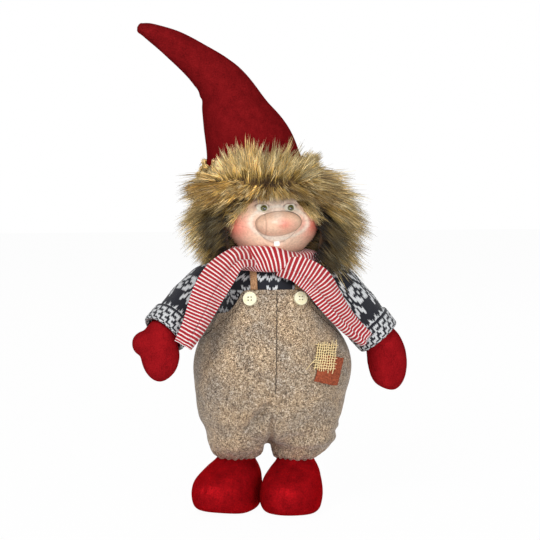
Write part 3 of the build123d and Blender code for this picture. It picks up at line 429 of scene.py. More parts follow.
def boot_place(side):
    x, y, turn = FEET[side]
    ahead = Vector((math.sin(math.radians(turn)), -math.cos(math.radians(turn)), 0))
    across = Vector((math.cos(math.radians(turn)), math.sin(math.radians(turn)), 0))

    def place(u, v):
        z, wide, long, forward = smooth_row(BOOT, v)
        angle = u * TURN
        front = -math.cos(angle)
        sewn = ease(0.0, 0.4, front) * ease(4, 10, z) * (1 - ease(40, 46, z))
        seam = 1.3 * mound(math.sin(angle) * wide, 1.4) * sewn
        dent = 1.0 * ripple((x + 40 * math.sin(angle), 60 * front, z), 22.0, 5.0) * ease(2, 9, z)
        spring = TOE_SPRING[side] * ease(0.0, 1.0, front * long / 42) * (1 - ease(0, 46, z))
        point = Vector((x, y, max(z, 0.0) + spring))
        point += ahead * (forward + front * max(long + dent - seam, 0.0))
        return point + across * (math.sin(angle) * max(wide + dent - seam, 0.0))

    return place


for side in SIDES:
    boot = lay(f"{side}_felt_boot", 96, 72, boot_place(side))
    dress(boot, "torso", boot_felt, "red_felt", f"{side}_boot", f"{side}_boot_weight", f"{side}_insole")


# Overalls: trunk and both legs melted into one skin, then puffed, trimmed to the bib and hemmed
BIB_TOP = 207.0
BIB_HALF = 31.0
BACK_TOP = 179.0
BACK_HALF = 36.0
SIDE_RIM = 160.0
SIDE_RIM_X = 72.4
HEM_Z = 47.0


def trunk_place(growth, low, high):
    def place(u, v):
        z = low + (high - low) * v
        wide, deep = at_height(TRUNK, z)
        angle = u * TURN
        cap = min(ease(0.0, 0.04, v), ease(0.0, 0.03, 1 - v))
        return (math.sin(angle) * (wide + growth) * cap, math.cos(angle) * (deep + growth) * cap, z)

    return place


LEG = [(0.0, 0.2, 0.2), (0.05, 17.5, 17.5), (2.0, 20.6, 20.6), (6.0, 24.5, 25.5), (11.0, 27.6, 30.5),
       (19.0, 29.4, 35.0), (32.0, 30.5, 38.5), (48.0, 30.0, 38.0), (60.0, 20, 24), (66.0, 0.2, 0.2)]


def leg_place(side):
    foot_x, foot_y, _ = FEET[side]

    def place(u, v):
        rise, wide, deep = smooth_row(LEG, v)
        shift = ease(0, 16, rise)
        x = foot_x + (SIDES[side] * LEG_OUT - foot_x) * shift
        y = foot_y * (1 - shift)
        angle = u * TURN
        return (x + math.sin(angle) * max(wide, 0.0), y + math.cos(angle) * max(deep, 0.0), HEM_Z + rise)

    return place


def trim(piece, facing, half, top):
    """Cut the trunk's top to a straight edge with two sloping sides, on the front or the back half."""
    bm = bmesh.new()
    bm.from_mesh(piece.data)
    slope = Vector((SIDE_RIM_X - half, 0, SIDE_RIM - top))
    for sign in (-1, 0, 1):
        if sign:
            point = Vector((sign * half, 0, top))
            normal = Vector((-slope.z * sign, 0, slope.x))
        else:
            point = Vector((0, 0, top))
            normal = Vector((0, 0, 1))
        chosen = [f for f in bm.faces if f.calc_center_median().y * facing < 0]
        edges = list({e for f in chosen for e in f.edges})
        verts = list({v for f in chosen for v in f.verts})
        geom = chosen + edges + verts
        bmesh.ops.bisect_plane(bm, geom=geom, plane_co=point * MM, plane_no=normal, clear_outer=True)
    bm.to_mesh(piece.data)
    bm.free()


trunk_form = lay("trunk_form", 96, 80, trunk_place(TWEED_OUT - 1.2, 60.0, 216.0))
legs = [lay(f"{side}_leg_form", 64, 40, leg_place(side)) for side in SIDES]
overalls = melt("overalls_cloth", [trunk_form] + legs, 3.0, 5)


def puff(piece, pressure, limit):
    """Blow a stuffed cloth form up a little, so that it wrinkles and swells as filled cloth does."""
    start = [v.co.copy() for v in piece.data.vertices]
    cloth = piece.modifiers.new("Puff", "CLOTH")
    cloth.settings.quality = 5
    cloth.settings.use_pressure = True
    cloth.settings.uniform_pressure_force = pressure
    cloth.settings.effector_weights.gravity = 0.0
    for frame_number in range(1, 21):
        bpy.context.scene.frame_set(frame_number)
    bake(piece)
    for vert, rest in zip(piece.data.vertices, start):
        move = vert.co - rest
        if move.length > limit * MM:
            vert.co = rest + move.normalized() * limit * MM
    bpy.context.scene.frame_set(1)


puff(overalls, 3.0, 3.0)


def overall_folds(point, normal):
    """Folds of the overalls: gathers over the elastic hems, drag lines at the crotch and a centre seam."""
    x, y, z = point
    side = "right" if x < 0 else "left"
    foot_x, foot_y, _ = FEET[side]
    angle = math.atan2(x - foot_x, y - foot_y)
    gather = 0.8 * math.sin(19 * angle + 5.0 * ripple(point, 16.0)) + 0.9 * ripple(point, 5.0)
    gather *= 1 - ease(50, 66, z)
    drag = 1.5 * ripple((x, y, z * 1.8), 24.0, 2.0) * (1 - ease(84, 130, z)) * ease(50, 62, z)
    soft = 0.8 * ripple(point, 34.0, 4.0)
    parting = -6.5 * mound(x + 3.5, 3.2) * (1 - ease(84, 104, z))
    seat = 2.6 * ease(-30, -55, x) * mound(z - 92, 26) + 3.0 * ease(30, 55, x) * mound(z - 132, 28)
    fold = -11.0 * mound(math.hypot((x + 15) / 1.2, z - 92 - 0.9 * (x + 15)), 8.0) if y < 0 else 0.0
    roll = 3.2 * ease(8, 20, x) * (mound(z - 66, 4.5) + 0.7 * mound(z - 78, 4.0)) * (1 - ease(60, 68, x))
    return gather + drag + soft + parting + seat + fold + roll


grain = overalls.modifiers.new("Grain", "SUBSURF")
grain.levels = 1
grain.render_levels = 1
bake(overalls)
trim(overalls, 1, BIB_HALF, BIB_TOP)
trim(overalls, -1, BACK_HALF, BACK_TOP)
# The bib's sloping sides are scooped below the straight trim
for vert in overalls.data.vertices:
    x, y, z = vert.co / MM
    edge = BIB_TOP + (abs(x) - BIB_HALF) * (SIDE_RIM - BIB_TOP) / (SIDE_RIM_X - BIB_HALF)
    if y < 0:
        lower = z - 9.0 * mound(abs(x) - 40, 9) * ease(edge - 30, edge, z)
        wide, deep = (after / before for after, before in zip(at_height(TRUNK, lower), at_height(TRUNK, z)))
        vert.co = Vector((x * wide, y * deep, lower)) * MM
push(overalls, overall_folds)
hem = overalls.modifiers.new("Thickness", "SOLIDIFY")
hem.thickness = 2.0 * MM
hem.offset = -1.0
bake(overalls)
dress(overalls, "torso", tweed, "tweed", "overalls", "torso_stuffing",
      *[f"{side}_{n}" for side in SIDES for n in ("leg_stuffing", "hem_elastic")])
cloth_tree = BVHTree.FromPolygons([v.co for v in overalls.data.vertices],
                                  [f.vertices for f in overalls.data.polygons])


def on_overalls(x, z, lift):
    """A point on the front of the finished overalls, seen from ahead and lifted off the cloth."""
    spot, normal, _, _ = cloth_tree.ray_cast(Vector((x, -200, z)) * MM, Vector((0, 1, 0)))
    if spot is None:
        wide, deep = at_height(TRUNK, z)
        spread = math.sqrt(max(1 - (x / (wide + TWEED_OUT)) ** 2, 0.0))
        return Vector((x, -(deep + TWEED_OUT) * spread - lift, z))
    return spot / MM + normal * lift


# Knit: every stitch is a small V, coloured from charts of stars, teeth and checks
NIGHT = paint(26, 28, 38)
SNOW = paint(228, 230, 232)
STAR = [
    "...#...#....",
    "...##.##....",
    "....#.#.....",
    "###..#..###.",
    ".###...###..",
    "...#.#.#...#",
    ".###...###..",
    "###..#..###.",
    "....#.#.....",
    "...##.##....",
    "...#...#....",
]
TEETH = ["#...#...", "##.###.#", ".###.###", "..#...#."]
CHECK = ["##.#", ".#..", "#.##", "...#"]
SEEDS = ["#...", "....", "..#.", "...."]


def chart_stitch(chart, column, row):
    line = chart[row % len(chart)]
    return line[column % len(line)] == "#"


def stitch_of(u, v, across, down):
    """The column and row of the stitch at a place; each row bends into a V in every column."""
    column = u * across
    share = column - math.floor(column)
    row = v * down + 0.5 * abs(2 * share - 1)
    return math.floor(column), math.floor(row), share, row - math.floor(row)


def stitch_lift(u, v, across, down):
    _, _, share, rise = stitch_of(u, v, across, down)
    strand = abs(math.sin(TURN * share)) ** 0.6
    return 0.75 * strand * (0.55 + 0.45 * math.sin(math.pi * rise)) - 0.3


def yarn_colours(bands, across, down):
    def colour(u, v):
        column, row, _, _ = stitch_of(min(u, 0.9999), v, across, down)
        used = 0
        for chart, rows in bands:
            if row < used + rows:
                light = chart is not None and chart_stitch(chart, column, row - used)
                return SNOW if light else NIGHT
            used += rows
        return NIGHT

    return colour


# Jumper's trunk, from inside the overalls up to the neck
BODY_ACROSS = 176
BODY_DOWN = 54
BODY_BANDS = [(None, 2), (SEEDS, 4), (None, 1), (TEETH, 4), (None, 2), (STAR, 11), (None, 2), (TEETH, 4),
              (CHECK, 24)]


def jumper_place(u, v):
    z = 231.5 - 88.0 * v
    wide, deep = at_height(TRUNK, z)
    lift = KNIT_OUT + stitch_lift(u, v, BODY_ACROSS, BODY_DOWN) - 1.2 * ease(0.62, 0.75, v)
    angle = u * TURN
    return (math.sin(angle) * (wide + lift), math.cos(angle) * (deep + lift), z)


jumper = lay("jumper_trunk", 704, 130, jumper_place,
             {"yarn": yarn_colours(BODY_BANDS, BODY_ACROSS, BODY_DOWN)})
dress(jumper, "torso", wool, "nordic_knit", "sweater_body")

# Arms: each has its own frame, out from the shoulder, to the front and up along the hanging arm
SLEEVE_START = Vector((9, 0, 0))
SLEEVE_END = Vector((50, 0, -49))
SLEEVE_LEAN = math.atan2(41, 49)
SLEEVE_ACROSS = 72
SLEEVE_DOWN = 52
SLEEVE_BANDS = [(None, 6), (SEEDS, 4), (None, 1), (TEETH, 4), (None, 2), (STAR, 11), (None, 2), (TEETH, 4),
                (None, 2), (CHECK, 18)]
SLEEVE_ROUNDS = [(-19.5, 0.3), (-19.0, 4.5), (-17.4, 8.0), (-13.5, 13.6), (-7.5, 17.8), (0, 19.4), (12, 20.4),
                 (24, 20.8), (36, 20.4), (46, 20.0), (47.5, 21.9), (56, 21.6), (63, 21.2), (64.6, 19.8),
                 (62.5, 17.8), (56, 17.2)]


def arm_point(side, out, front, up):
    swing = math.radians(SWING[side])
    shoulder = Vector((SIDES[side] * (SHOULDER_X + out), 0, SHOULDER_Z))
    ahead = Vector((0, -math.cos(swing), math.sin(swing)))
    above = Vector((0, math.sin(swing), math.cos(swing)))
    return shoulder + ahead * front + above * up


def sleeve_place(side):
    run = Vector((math.sin(SLEEVE_LEAN), 0, -math.cos(SLEEVE_LEAN)))
    beside = Vector((math.cos(SLEEVE_LEAN), 0, math.sin(SLEEVE_LEAN)))

    def place(u, v):
        along, radius = smooth_row(SLEEVE_ROUNDS, v)
        angle = u * TURN
        fold = 0.9 * ripple((30 * math.cos(angle), 30 * math.sin(angle), along), 17.0, 8.0 + SIDES[side])
        radius += (stitch_lift(u, v, SLEEVE_ACROSS, SLEEVE_DOWN) + fold) * ease(0.0, 6.0, radius)
        middle = SLEEVE_START + run * along
        around = beside * (math.cos(angle) * radius)
        return arm_point(side, middle.x + around.x, math.sin(angle) * radius, middle.z + around.z)

    return place


MITTEN = [(-8, 15.6, 15.6), (2, 15.8, 15.8), (9, 16.2, 17.4), (21, 14.6, 18.6), (31, 13.8, 18.0),
          (39, 12.6, 16.4), (45, 10.4, 13.4), (49, 6.6, 8.6), (50.4, 0.2, 0.2)]
MITTEN_LEAN = {"right": math.radians(-50), "left": math.radians(-23)}
MITTEN_REACH = {"right": 0.86, "left": 0.98}
MITTEN_INWARD = {"right": 4.0, "left": 2.0}


def mitten_frame(side, along):
    bend = clamp(along / 50.0)
    lean = SLEEVE_LEAN + (MITTEN_LEAN[side] - SLEEVE_LEAN) * bend
    middle = (SLEEVE_LEAN + lean) / 2
    centre = SLEEVE_END + Vector((math.sin(middle), 0, -math.cos(middle))) * along
    centre.x -= MITTEN_INWARD[side] * clamp(along / 25.0)
    return centre, Vector((math.cos(lean), 0, math.sin(lean))), Vector((math.sin(lean), 0, -math.cos(lean)))


def mitten_place(side):
    def place(u, v):
        along, thick, wide = smooth_row(MITTEN, v)
        if side == "right":
            wide *= 1 - 0.04 * ease(14, 28, along)
        centre, beside, _ = mitten_frame(side, along * MITTEN_REACH[side])
        if v == 0.0:
            thick = wide = 0.0
        angle = u * TURN
        across = centre + beside * (math.cos(angle) * max(wide, 0.0))
        return arm_point(side, across.x, math.sin(angle) * max(thick, 0.0), across.z)

    return place


THUMB = [(2, 0.1), (2.5, 9.5), (8, 11.6), (15, 11.6), (20, 9.8), (24, 5.6), (25.4, 0.1)]


def thumb_place(side):
    base, beside, run = mitten_frame(side, 10)
    if side == "right":
        out = (beside + run * 0.5).normalized()
    else:
        out = (Vector((0, -1, 0)) + run * 0.5).normalized()
    first = out.cross(Vector((0, 1, 0)) if side == "right" else beside).normalized()
    second = out.cross(first)

    def place(u, v):
        along, radius = smooth_row(THUMB, v)
        angle = u * TURN
        spot = base + out * along + (first * math.cos(angle) + second * math.sin(angle)) * max(radius, 0.0)
        return arm_point(side, spot.x, spot.y, spot.z)

    return place


for side in SIDES:
    sleeve = lay(f"{side}_knit_sleeve", 360, 160, sleeve_place(side),
                 {"yarn": yarn_colours(SLEEVE_BANDS, SLEEVE_ACROSS, SLEEVE_DOWN)})
    dress(sleeve, f"{side}_arm", wool, "nordic_knit", f"{side}_sleeve", f"{side}_arm_stuffing")
    palm = lay("palm_form", 64, 48, mitten_place(side))
    thumb = lay("thumb_form", 40, 28, thumb_place(side))
    mitten = melt(f"{side}_felt_mitten", [palm, thumb], 1.6, 8)
    dress(mitten, f"{side}_arm", mitten_felt, "red_felt", f"{side}_mitten", f"{side}_hand_stuffing")

# Scarf: a wound jersey ring and two hanging ends, striped across the strip
STRIPE = 3.0
WRAP_LEAN = math.radians(7)


def stripe_along(length):
    """Stripe count along a strip, divided so that the whole strip stays between 0 and 1."""
    def colour(u, v):
        count = v * length / STRIPE / 100.0
        return (count, count, count, 1.0)

    return colour


WRAP_LENGTH = TURN * 40


def wrap_stripe(u, v):
    lean = 26.0 * ease(0.4, 0.62, v) - 6.0
    count = (0.8 * v * WRAP_LENGTH + 40 - lean * (u - 0.5) * 2) / STRIPE / 100.0
    return (count, count, count, 1.0)


def wrap_place(u, v):
    angle = v * TURN
    section = (u - 0.5) * TURN
    folds = 1.3 * math.sin(3 * section + 2.0 * math.sin(2 * angle) + angle) + 0.9 * ripple(
        (40 * math.cos(angle), 40 * math.sin(angle), 20 * math.cos(section)), 14.0, 3.0)
    thick = 6.8 + folds
    tall = 10.0 + folds + 1.2 * math.sin(2 * angle + 0.6)
    radius = 36.4 + math.cos(section) * thick
    x = math.sin(angle) * radius
    y = math.cos(angle) * radius
    chin = 4.5 * mound(angle - 3.75, 0.55) + 1.5 * mound(angle - math.pi, 0.4)
    z = 234.6 + chin + math.sin(section) * tall + y * math.sin(WRAP_LEAN)
    return (x, y, z)


wrap = lay("scarf_wound", 72, 220, wrap_place, {"stripe": wrap_stripe})
dress(wrap, "torso", jersey, "striped_jersey", "scarf_wrap")

# Each end's middle line and width, its seen length, and the part tucked into the ring
ENDS = {
    "right": [(-23, -38, 240, 15), (-37.4, -46, 235.2, 19.5), (-50.1, -50, 222.8, 27.5),
              (-60, -52, 208, 28.5), (-67.6, -54, 192.2, 25.2), (-75.3, -57, 176.1, 20.4),
              (-84.6, -60, 160.7, 15.5)],
    "left": [(5, -44, 232, 14), (21.5, -46, 225.3, 24), (36.3, -47, 215, 27), (46.7, -46, 200.5, 24),
             (57.3, -44, 186, 20), (69, -40, 173, 17), (82.7, -36, 160.8, 14)],
}
END_LENGTH = {"right": 108.0, "left": 106.0}
END_TUCK = 10.0
END_SINK = 5.0


def end_place(side):
    def place(u, v):
        x, y, z, width = smooth_row(ENDS[side], v)
        ahead = Vector(smooth_row(ENDS[side], v + 0.02)[:3]) - Vector(smooth_row(ENDS[side], v - 0.02)[:3])
        ahead.normalize()
        across = ahead.cross(Vector((0, -1, 0))).normalized()
        out = across.cross(ahead)
        if out.y > 0:
            out = -out
        share = 2 * u - 1
        folded = 3.2 * ease(0.28, 0.36, share * (1 if side == "left" else -1))
        wave = 1.4 * math.sin(4.2 * share + 5 * v + SIDES[side]) * ease(0.0, 0.2, v)
        bow = 3.5 * (1 - share * share)
        tuck = END_TUCK * (1 - ease(0.0, 0.16, v))
        inward = Vector((-x, -y, 0)).normalized() * tuck
        inward += Vector((0, 0, -END_SINK * tuck / END_TUCK))
        return Vector((x, y, z)) + inward + across * (share * width / 2) + out * (bow + wave + folded)

    return place


for side in SIDES:
    end = lay(f"scarf_{side}_fall", 48, 120, end_place(side),
              {"stripe": stripe_along(END_LENGTH[side])}, close=False)
    thick = end.modifiers.new("Thickness", "SOLIDIFY")
    thick.thickness = 2.0 * MM
    thick.offset = 0.0
    bake(end)
    dress(end, None, jersey, "striped_jersey", f"scarf_{side}_end")
    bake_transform(end)


# Braces: jute bands from the bib over the shoulders to the back
BRACE_X = 20.0
BRACE_SHIFT = 0.9
BRACE_WIDTH = 5.8


def brace_place(sign):
    def place(u, v):
        turn = math.radians(172) * v + math.radians(4)
        reach = math.cos(turn)
        top = 232.5 - 25.0 * max(reach, 0.0) ** 1.6 - 53.0 * max(-reach, 0.0) ** 1.7
        wide, deep = at_height(TRUNK, min(top, 231.0))
        x = sign * BRACE_X + BRACE_SHIFT + (u - 0.5) * BRACE_WIDTH
        spread = math.sqrt(max(1 - (x / (wide + STRAP_OUT)) ** 2, 0.0))
        y = -math.copysign((deep + STRAP_OUT) * spread, reach) * min(1.0, 3.0 * abs(reach))
        weave = 0.35 * math.sin(u * TURN * 3) * math.sin(v * TURN * 40)
        return (x, y + (-0.6 - weave if y < 0 else 0.6 + weave), top)

    return place


for side, sign in SIDES.items():
    brace = lay(f"{side}_jute_brace", 12, 160, brace_place(sign), close=False)
    thick = brace.modifiers.new("Thickness", "SOLIDIFY")
    thick.thickness = 1.4 * MM
    thick.offset = 0.0
    bake(brace)
    dress(brace, "torso", jute, "jute", f"{side}_strap")

# Face: the painted mask, sculpted over the head's rounds
HEAD = [(235.5, 19, 18), (241.5, 28, 28), (253.5, 38, 36), (267.5, 40.5, 38.5), (281.5, 38, 37),
        (293.5, 29, 30)]
LOW_NOSE, HIGH_NOSE = (Vector(corner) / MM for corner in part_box("nose"))
NOSE_X = (LOW_NOSE.x + HIGH_NOSE.x) / 2
NOSE_Z = (LOW_NOSE.z + HIGH_NOSE.z) / 2
TOOTH_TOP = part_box("tooth")[1][2] / MM
MOUTH_Z = TOOTH_TOP - 1.2
NOSE_HALF = (21.0, 12.2)
NOSE_TOP_SHARE = 0.87
EYES = {}
for side in SIDES:
    low, high = (Vector(corner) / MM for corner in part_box(f"{side}_eye"))
    EYES[side] = (low + high) / 2
PINK = Vector(paint(255, 219, 190)[:3])
NOSE_PINK = Vector(paint(246, 204, 174)[:3])
BLUSH = Vector(paint(238, 130, 110)[:3])
# Dark brown for painted shade in the face's creases and round the nose, and for the line over each eye white
SHADE = Vector(paint(104, 56, 38)[:3])
# Near-white painted highlight for the raised muzzle, a ring round the nose and the nose's top
PAINTED_HIGHLIGHT = Vector(paint(255, 240, 222)[:3])
EYE_WHITE = Vector(paint(255, 250, 232)[:3])


def smile_z(x):
    """Height of the mouth's line across the face."""
    return MOUTH_Z + 0.04 * (x - NOSE_X + 1.5) ** 2


def face_relief(x, z):
    """How far the face stands out at a place, in millimetres, and how deep in a crease it lies, which sets
    the painted shade there.
    """
    off = x - NOSE_X
    relief = 4.0 * mound(math.hypot(abs(x) - 30, (z - 262) * 0.9), 10)
    relief += 2.5 * mound(math.hypot(off, (z - 243) * 1.2), 8)
    smile = mound(z - smile_z(x), 1.1) * (1 - ease(18, 23, abs(off)))
    ridge = mound(z - smile_z(x) - 4.0, 2.2) * (1 - ease(14, 22, abs(off)))
    lip = mound(z - smile_z(x) + 3.4, 2.0) * (1 - ease(8, 14, abs(off)))
    # The crease value is painted shade: the mouth line, the lines over the eyes and the short wrinkles at the
    # sides are darkened in the colour
    crease = 0.75 * smile
    relief += 1.0 * lip + 0.6 * ridge - 0.2 * smile
    for spot in EYES.values():
        across = x - spot.x
        near = mound(across, 7)
        relief -= 2.0 * mound(math.hypot(across * 0.8, z - spot.z), 4.8)
        lid = mound(z - spot.z - 6.2 + 0.035 * across * across, 1.3) * near
        bag = mound(z - spot.z + 5.2 - 0.03 * across * across, 1.4) * near
        line = mound(z - spot.z - 9.0 + 0.02 * across * across, 0.7) * near
        relief += 1.6 * lid + 1.1 * bag - 0.8 * line
        crease += 0.8 * line + 0.6 * mound(z - spot.z - 4.7 + 0.05 * across * across, 0.7) * near
    for k in range(3):
        line = mound(z - (272 - 4.5 * k) + (0.5 - 0.35 * k) * (abs(off) - 27), 0.7)
        line *= mound(abs(off) - 29, 5)
        relief -= 0.7 * line
        crease += 0.5 * line
    return relief, clamp(crease)


FACE_HALF_TURN = math.radians(112)


def face_base(u, v):
    z = 236.0 + 58.5 * v
    wide, deep = at_height(HEAD, z)
    angle = (u - 0.5) * 2 * FACE_HALF_TURN
    return wide, deep, angle, z


def face_place(u, v):
    wide, deep, angle, z = face_base(u, v)
    relief, _ = face_relief(math.sin(angle) * wide, z) if abs(angle) < 1.6 else (0.0, 0.0)
    return (math.sin(angle) * (wide + relief - 0.3), -math.cos(angle) * (deep + relief - 0.3), z)


def face_colour(u, v):
    wide, _, angle, z = face_base(u, v)
    x = math.sin(angle) * wide
    _, crease = face_relief(x, z)
    off = x - NOSE_X
    blush = 0.95 * mound(math.hypot(abs(x) - 32, z - 263), 11) + 0.25 * mound(math.hypot(x, z - 242), 7)
    colour = PINK.lerp(BLUSH, clamp(blush + 0.12 * ripple((x, 0, z), 9.0, 6.0)))
    # Painted highlight: the raised muzzle above the mouth line and a thin ring round the nose are lightened
    # to near-white
    muzzle_highlight = ease(-0.5, 2.5, z - smile_z(x)) * (1 - ease(15, 20, abs(off)))
    rim = mound(math.hypot(off / NOSE_HALF[0], (z - NOSE_Z) / NOSE_HALF[1]) - 1.13, 0.09)
    colour = colour.lerp(PAINTED_HIGHLIGHT, clamp(0.5 * muzzle_highlight + 0.75 * rim))
    for spot in EYES.values():
        reach = math.hypot((x - spot.x + 1.0) / 5.6, (z - spot.z) / 4.7)
        colour = colour.lerp(EYE_WHITE, ease(1.1, 0.85, reach))
        colour = colour.lerp(SHADE, 0.75 * mound(reach - 1.12, 0.13) * ease(-1.5, 2.0, z - spot.z))
    # Painted shade: the creases are darkened towards dark brown
    colour = colour.lerp(SHADE, 0.8 * crease)
    return (*colour, 1.0)


face = lay("face", 230, 150, face_place, {"skin": face_colour}, close=False)
back = face.modifiers.new("Wall", "SOLIDIFY")
back.thickness = 2.5 * MM
back.offset = -1.0
bake(face)
dress(face, "head", skin, "face_skin", "face_mask", "head_core")


# Nose: a wide potato with a crease down one side and a flatter top
def nose_place(u, v):
    angle = u * TURN
    ball = v * math.pi * 0.62
    wide = math.sin(ball) * math.cos(angle)
    tall = math.sin(ball) * math.sin(angle)
    x = NOSE_HALF[0] * math.copysign(abs(wide) ** 0.94, wide)
    top_share = NOSE_TOP_SHARE if tall > 0 else 1.0
    z = NOSE_HALF[1] * tall * (1 - 0.05 * wide) * top_share + 0.9 * math.sin(2.2 * wide)
    y = -37.6 - 19.6 * math.cos(ball)
    dent = 0.5 * mound(x + 12.4 + 0.03 * z, 0.6) * clamp(math.cos(ball) + 0.3)
    return (NOSE_X + x, y + dent, NOSE_Z + z)


def nose_colour(u, v):
    x, y, z = nose_place(u, v)
    x -= NOSE_X
    pink = 0.75 * mound(math.hypot((x - 4) / 1.3, z - NOSE_Z + 1), 5.5)
    # Painted shade round the nose's edge, stronger on its left side, away from the key light
    edge_shade = 0.4 + 0.55 * ease(-4, 12, x)
    colour = NOSE_PINK.lerp(BLUSH, clamp(pink + 0.15 * ripple((x, y, z), 8.0)))
    # Painted highlight: a pale patch on the nose's upper side
    colour = colour.lerp(PAINTED_HIGHLIGHT, 0.5 * mound(math.hypot(x + 2, z - NOSE_Z - 7), 5))
    # Painted shade in the dent down the nose's side and round its edge
    dark = 0.35 * mound(x + 12.4 + 0.03 * (z - NOSE_Z), 0.5) + edge_shade * ease(0.6, 0.69, v)
    colour = colour.lerp(SHADE, dark)
    return (*colour, 1.0)


nose = lay("potato_nose", 120, 60, nose_place, {"skin": nose_colour})
dress(nose, "head", skin, "face_skin", "nose")

# Eyes, tooth and buttons keep their solids and get painted finishes
for side, spot in EYES.items():
    bead = Finish(f"{side}_eye_glass", roughness=0.12, coat=1.0)
    mapping = bead.add("Mapping", Vector=bead.where())
    mapping.inputs["Location"].default_value = (-(spot.x + 0.5) * MM, 0, -(spot.z - 0.2) * MM)
    mapping.inputs["Scale"].default_value = (1, 0, 1)
    reach = bead.add("VectorMath")
    reach.operation = "LENGTH"
    bead.join(mapping.outputs["Vector"], reach.inputs[0])
    far = bead.math("MULTIPLY", reach.outputs["Value"], 165.0)
    rings = [(0.0, paint(14, 12, 10)), (0.22, paint(18, 16, 12)), (0.27, paint(122, 122, 52)),
             (0.44, paint(92, 98, 44)), (0.5, paint(40, 40, 22)), (0.56, paint(226, 214, 188))]
    bead.colour(bead.ramp(far, rings))
    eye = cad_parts[f"{side}_eye"]
    eye.data.materials.clear()
    eye.data.materials.append(bead.material)
KEPT = [("tooth", enamel), ("right_button", horn), ("left_button", horn), ("neck_peg", dowel)]
for side in SIDES:
    KEPT += [(f"{side}_leg_dowel", dowel), (f"{side}_arm_disc", nylon)]
    KEPT += [(f"{side}_body_disc", nylon), (f"{side}_shoulder_pin", nylon)]
for name, finish in KEPT:
    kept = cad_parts[name]
    kept.data.materials.clear()
    kept.data.materials.append(finish)

# Patches: a rust felt scrap under loosely woven burlap with frayed ends
PATCH_X = 43.0
PATCH_Z = 146.0
RUST_SIZE = (22.0, 24.0)
BURLAP_SIZE = (17.5, 20.5)


def patch_spot(x, z, lean, across, up):
    lean = math.radians(lean)
    moved_x = x + across * math.cos(lean) - up * math.sin(lean)
    moved_z = z + across * math.sin(lean) + up * math.cos(lean)
    return moved_x, moved_z


def rust_place(u, v):
    ragged = 0.7 * ripple((u * 20, v * 20, 0), 3.0, 9.0)
    across = (u - 0.5) * RUST_SIZE[0] + ragged
    up = (v - 0.5) * RUST_SIZE[1] + ragged
    x, z = patch_spot(PATCH_X + 4, PATCH_Z - 12, -16, across, up)
    return on_overalls(x, z, 2.6)


scrap = lay("rust_scrap", 40, 44, rust_place, close=False)
thick = scrap.modifiers.new("Thickness", "SOLIDIFY")
thick.thickness = 1.0 * MM
thick.offset = 0.0
bake(scrap)
dress(scrap, "torso", rust, "brown_cloth", "brown_patch")


def strand_curve(name, strands, thickness, sides=1, caps=True):
    """Many thin strands as one curve: each is a list of points in millimetres with a thickness share."""
    line = bpy.data.curves.new(name, "CURVE")
    line.dimensions = "3D"
    line.bevel_depth = thickness * MM
    line.bevel_resolution = sides - 1
    line.use_fill_caps = caps
    for points in strands:
        spline = line.splines.new("POLY")
        spline.points.add(len(points) - 1)
        flat = []
        for point, _ in points:
            flat += [point[0] * MM, point[1] * MM, point[2] * MM, 1.0]
        spline.points.foreach_set("co", flat)
        spline.points.foreach_set("radius", [share for _, share in points])
    made = bpy.data.objects.new(name, line)
    bpy.context.scene.collection.objects.link(made)
    view = bpy.context.evaluated_depsgraph_get()
    mesh = bpy.data.meshes.new_from_object(made.evaluated_get(view))
    bpy.data.objects.remove(made)
    mesh.shade_smooth()
    piece = bpy.data.objects.new(name, mesh)
    bpy.context.scene.collection.objects.link(piece)
    return piece


chance = random.Random(7)
weave = []
for index in range(9):
    across = (index - 4) * 2.1 + chance.uniform(-0.2, 0.2)
    fray = chance.uniform(0.4, 3.4)
    row = []
    for step in range(25):
        up = -10.5 - fray + step / 24 * (21 + 2 * fray)
        x, z = patch_spot(PATCH_X, PATCH_Z, -9, across + 0.25 * math.sin(up * 0.7 + index), up)
        row.append((on_overalls(x, z, 4.2 + 0.35 * math.sin(up * 2.4 + math.pi * index)), 1.0))
    weave.append(row)
for index in range(10):
    up = (index - 4.5) * 2.15
    fray = chance.uniform(0.3, 2.0)
    row = []
    for step in range(25):
        across = -8.8 - fray + step / 24 * (17.6 + 2 * fray)
        x, z = patch_spot(PATCH_X, PATCH_Z, -9, across, up + 0.25 * math.sin(across * 0.8 + index))
        row.append((on_overalls(x, z, 4.2 + 0.35 * math.sin(across * 2.5 + math.pi * index + 1.5)), 1.0))
    weave.append(row)
loose = []
for step in range(13):
    share = step / 12
    x, z = PATCH_X - 8.5 - 9.5 * share, PATCH_Z - 1.0 - 9.0 * share + 2.0 * math.sin(share * 3.0)
    loose.append((on_overalls(x, z, 4.0 + 2.0 * math.sin(share * 3.1)), 1.0 - 0.4 * share))
weave.append(loose)
threads = dress(strand_curve("burlap_threads", weave, 0.42, sides=2), "torso", burlap, "burlap")


def burlap_place(u, v):
    x, z = patch_spot(PATCH_X, PATCH_Z, -9, (u - 0.5) * BURLAP_SIZE[0], (v - 0.5) * BURLAP_SIZE[1])
    return on_overalls(x, z, 2.6)


# The cloth under the threads is coloured dark as painted shade in the weave's gaps
backing = lay("burlap_cloth_gap_shade", 36, 40, burlap_place, close=False)
thick = backing.modifiers.new("Thickness", "SOLIDIFY")
thick.thickness = 0.8 * MM
thick.offset = 0.0
bake(backing)
dress(backing, "torso", burlap_shade, "burlap", "burlap_patch")


# Sewing on the overalls: a centre seam and a row of stitches inside the bib's edges
def dashes(start, end, count):
    """Short stitches in a row between two places seen from ahead."""
    made = []
    for index in range(count):
        row = []
        for share in (0.15, 0.45, 0.75):
            step = (index + share) / count
            x = start[0] + (end[0] - start[0]) * step
            z = start[1] + (end[1] - start[1]) * step
            row.append((on_overalls(x, z, 0.25), 1.0))
        made.append(row)
    return made


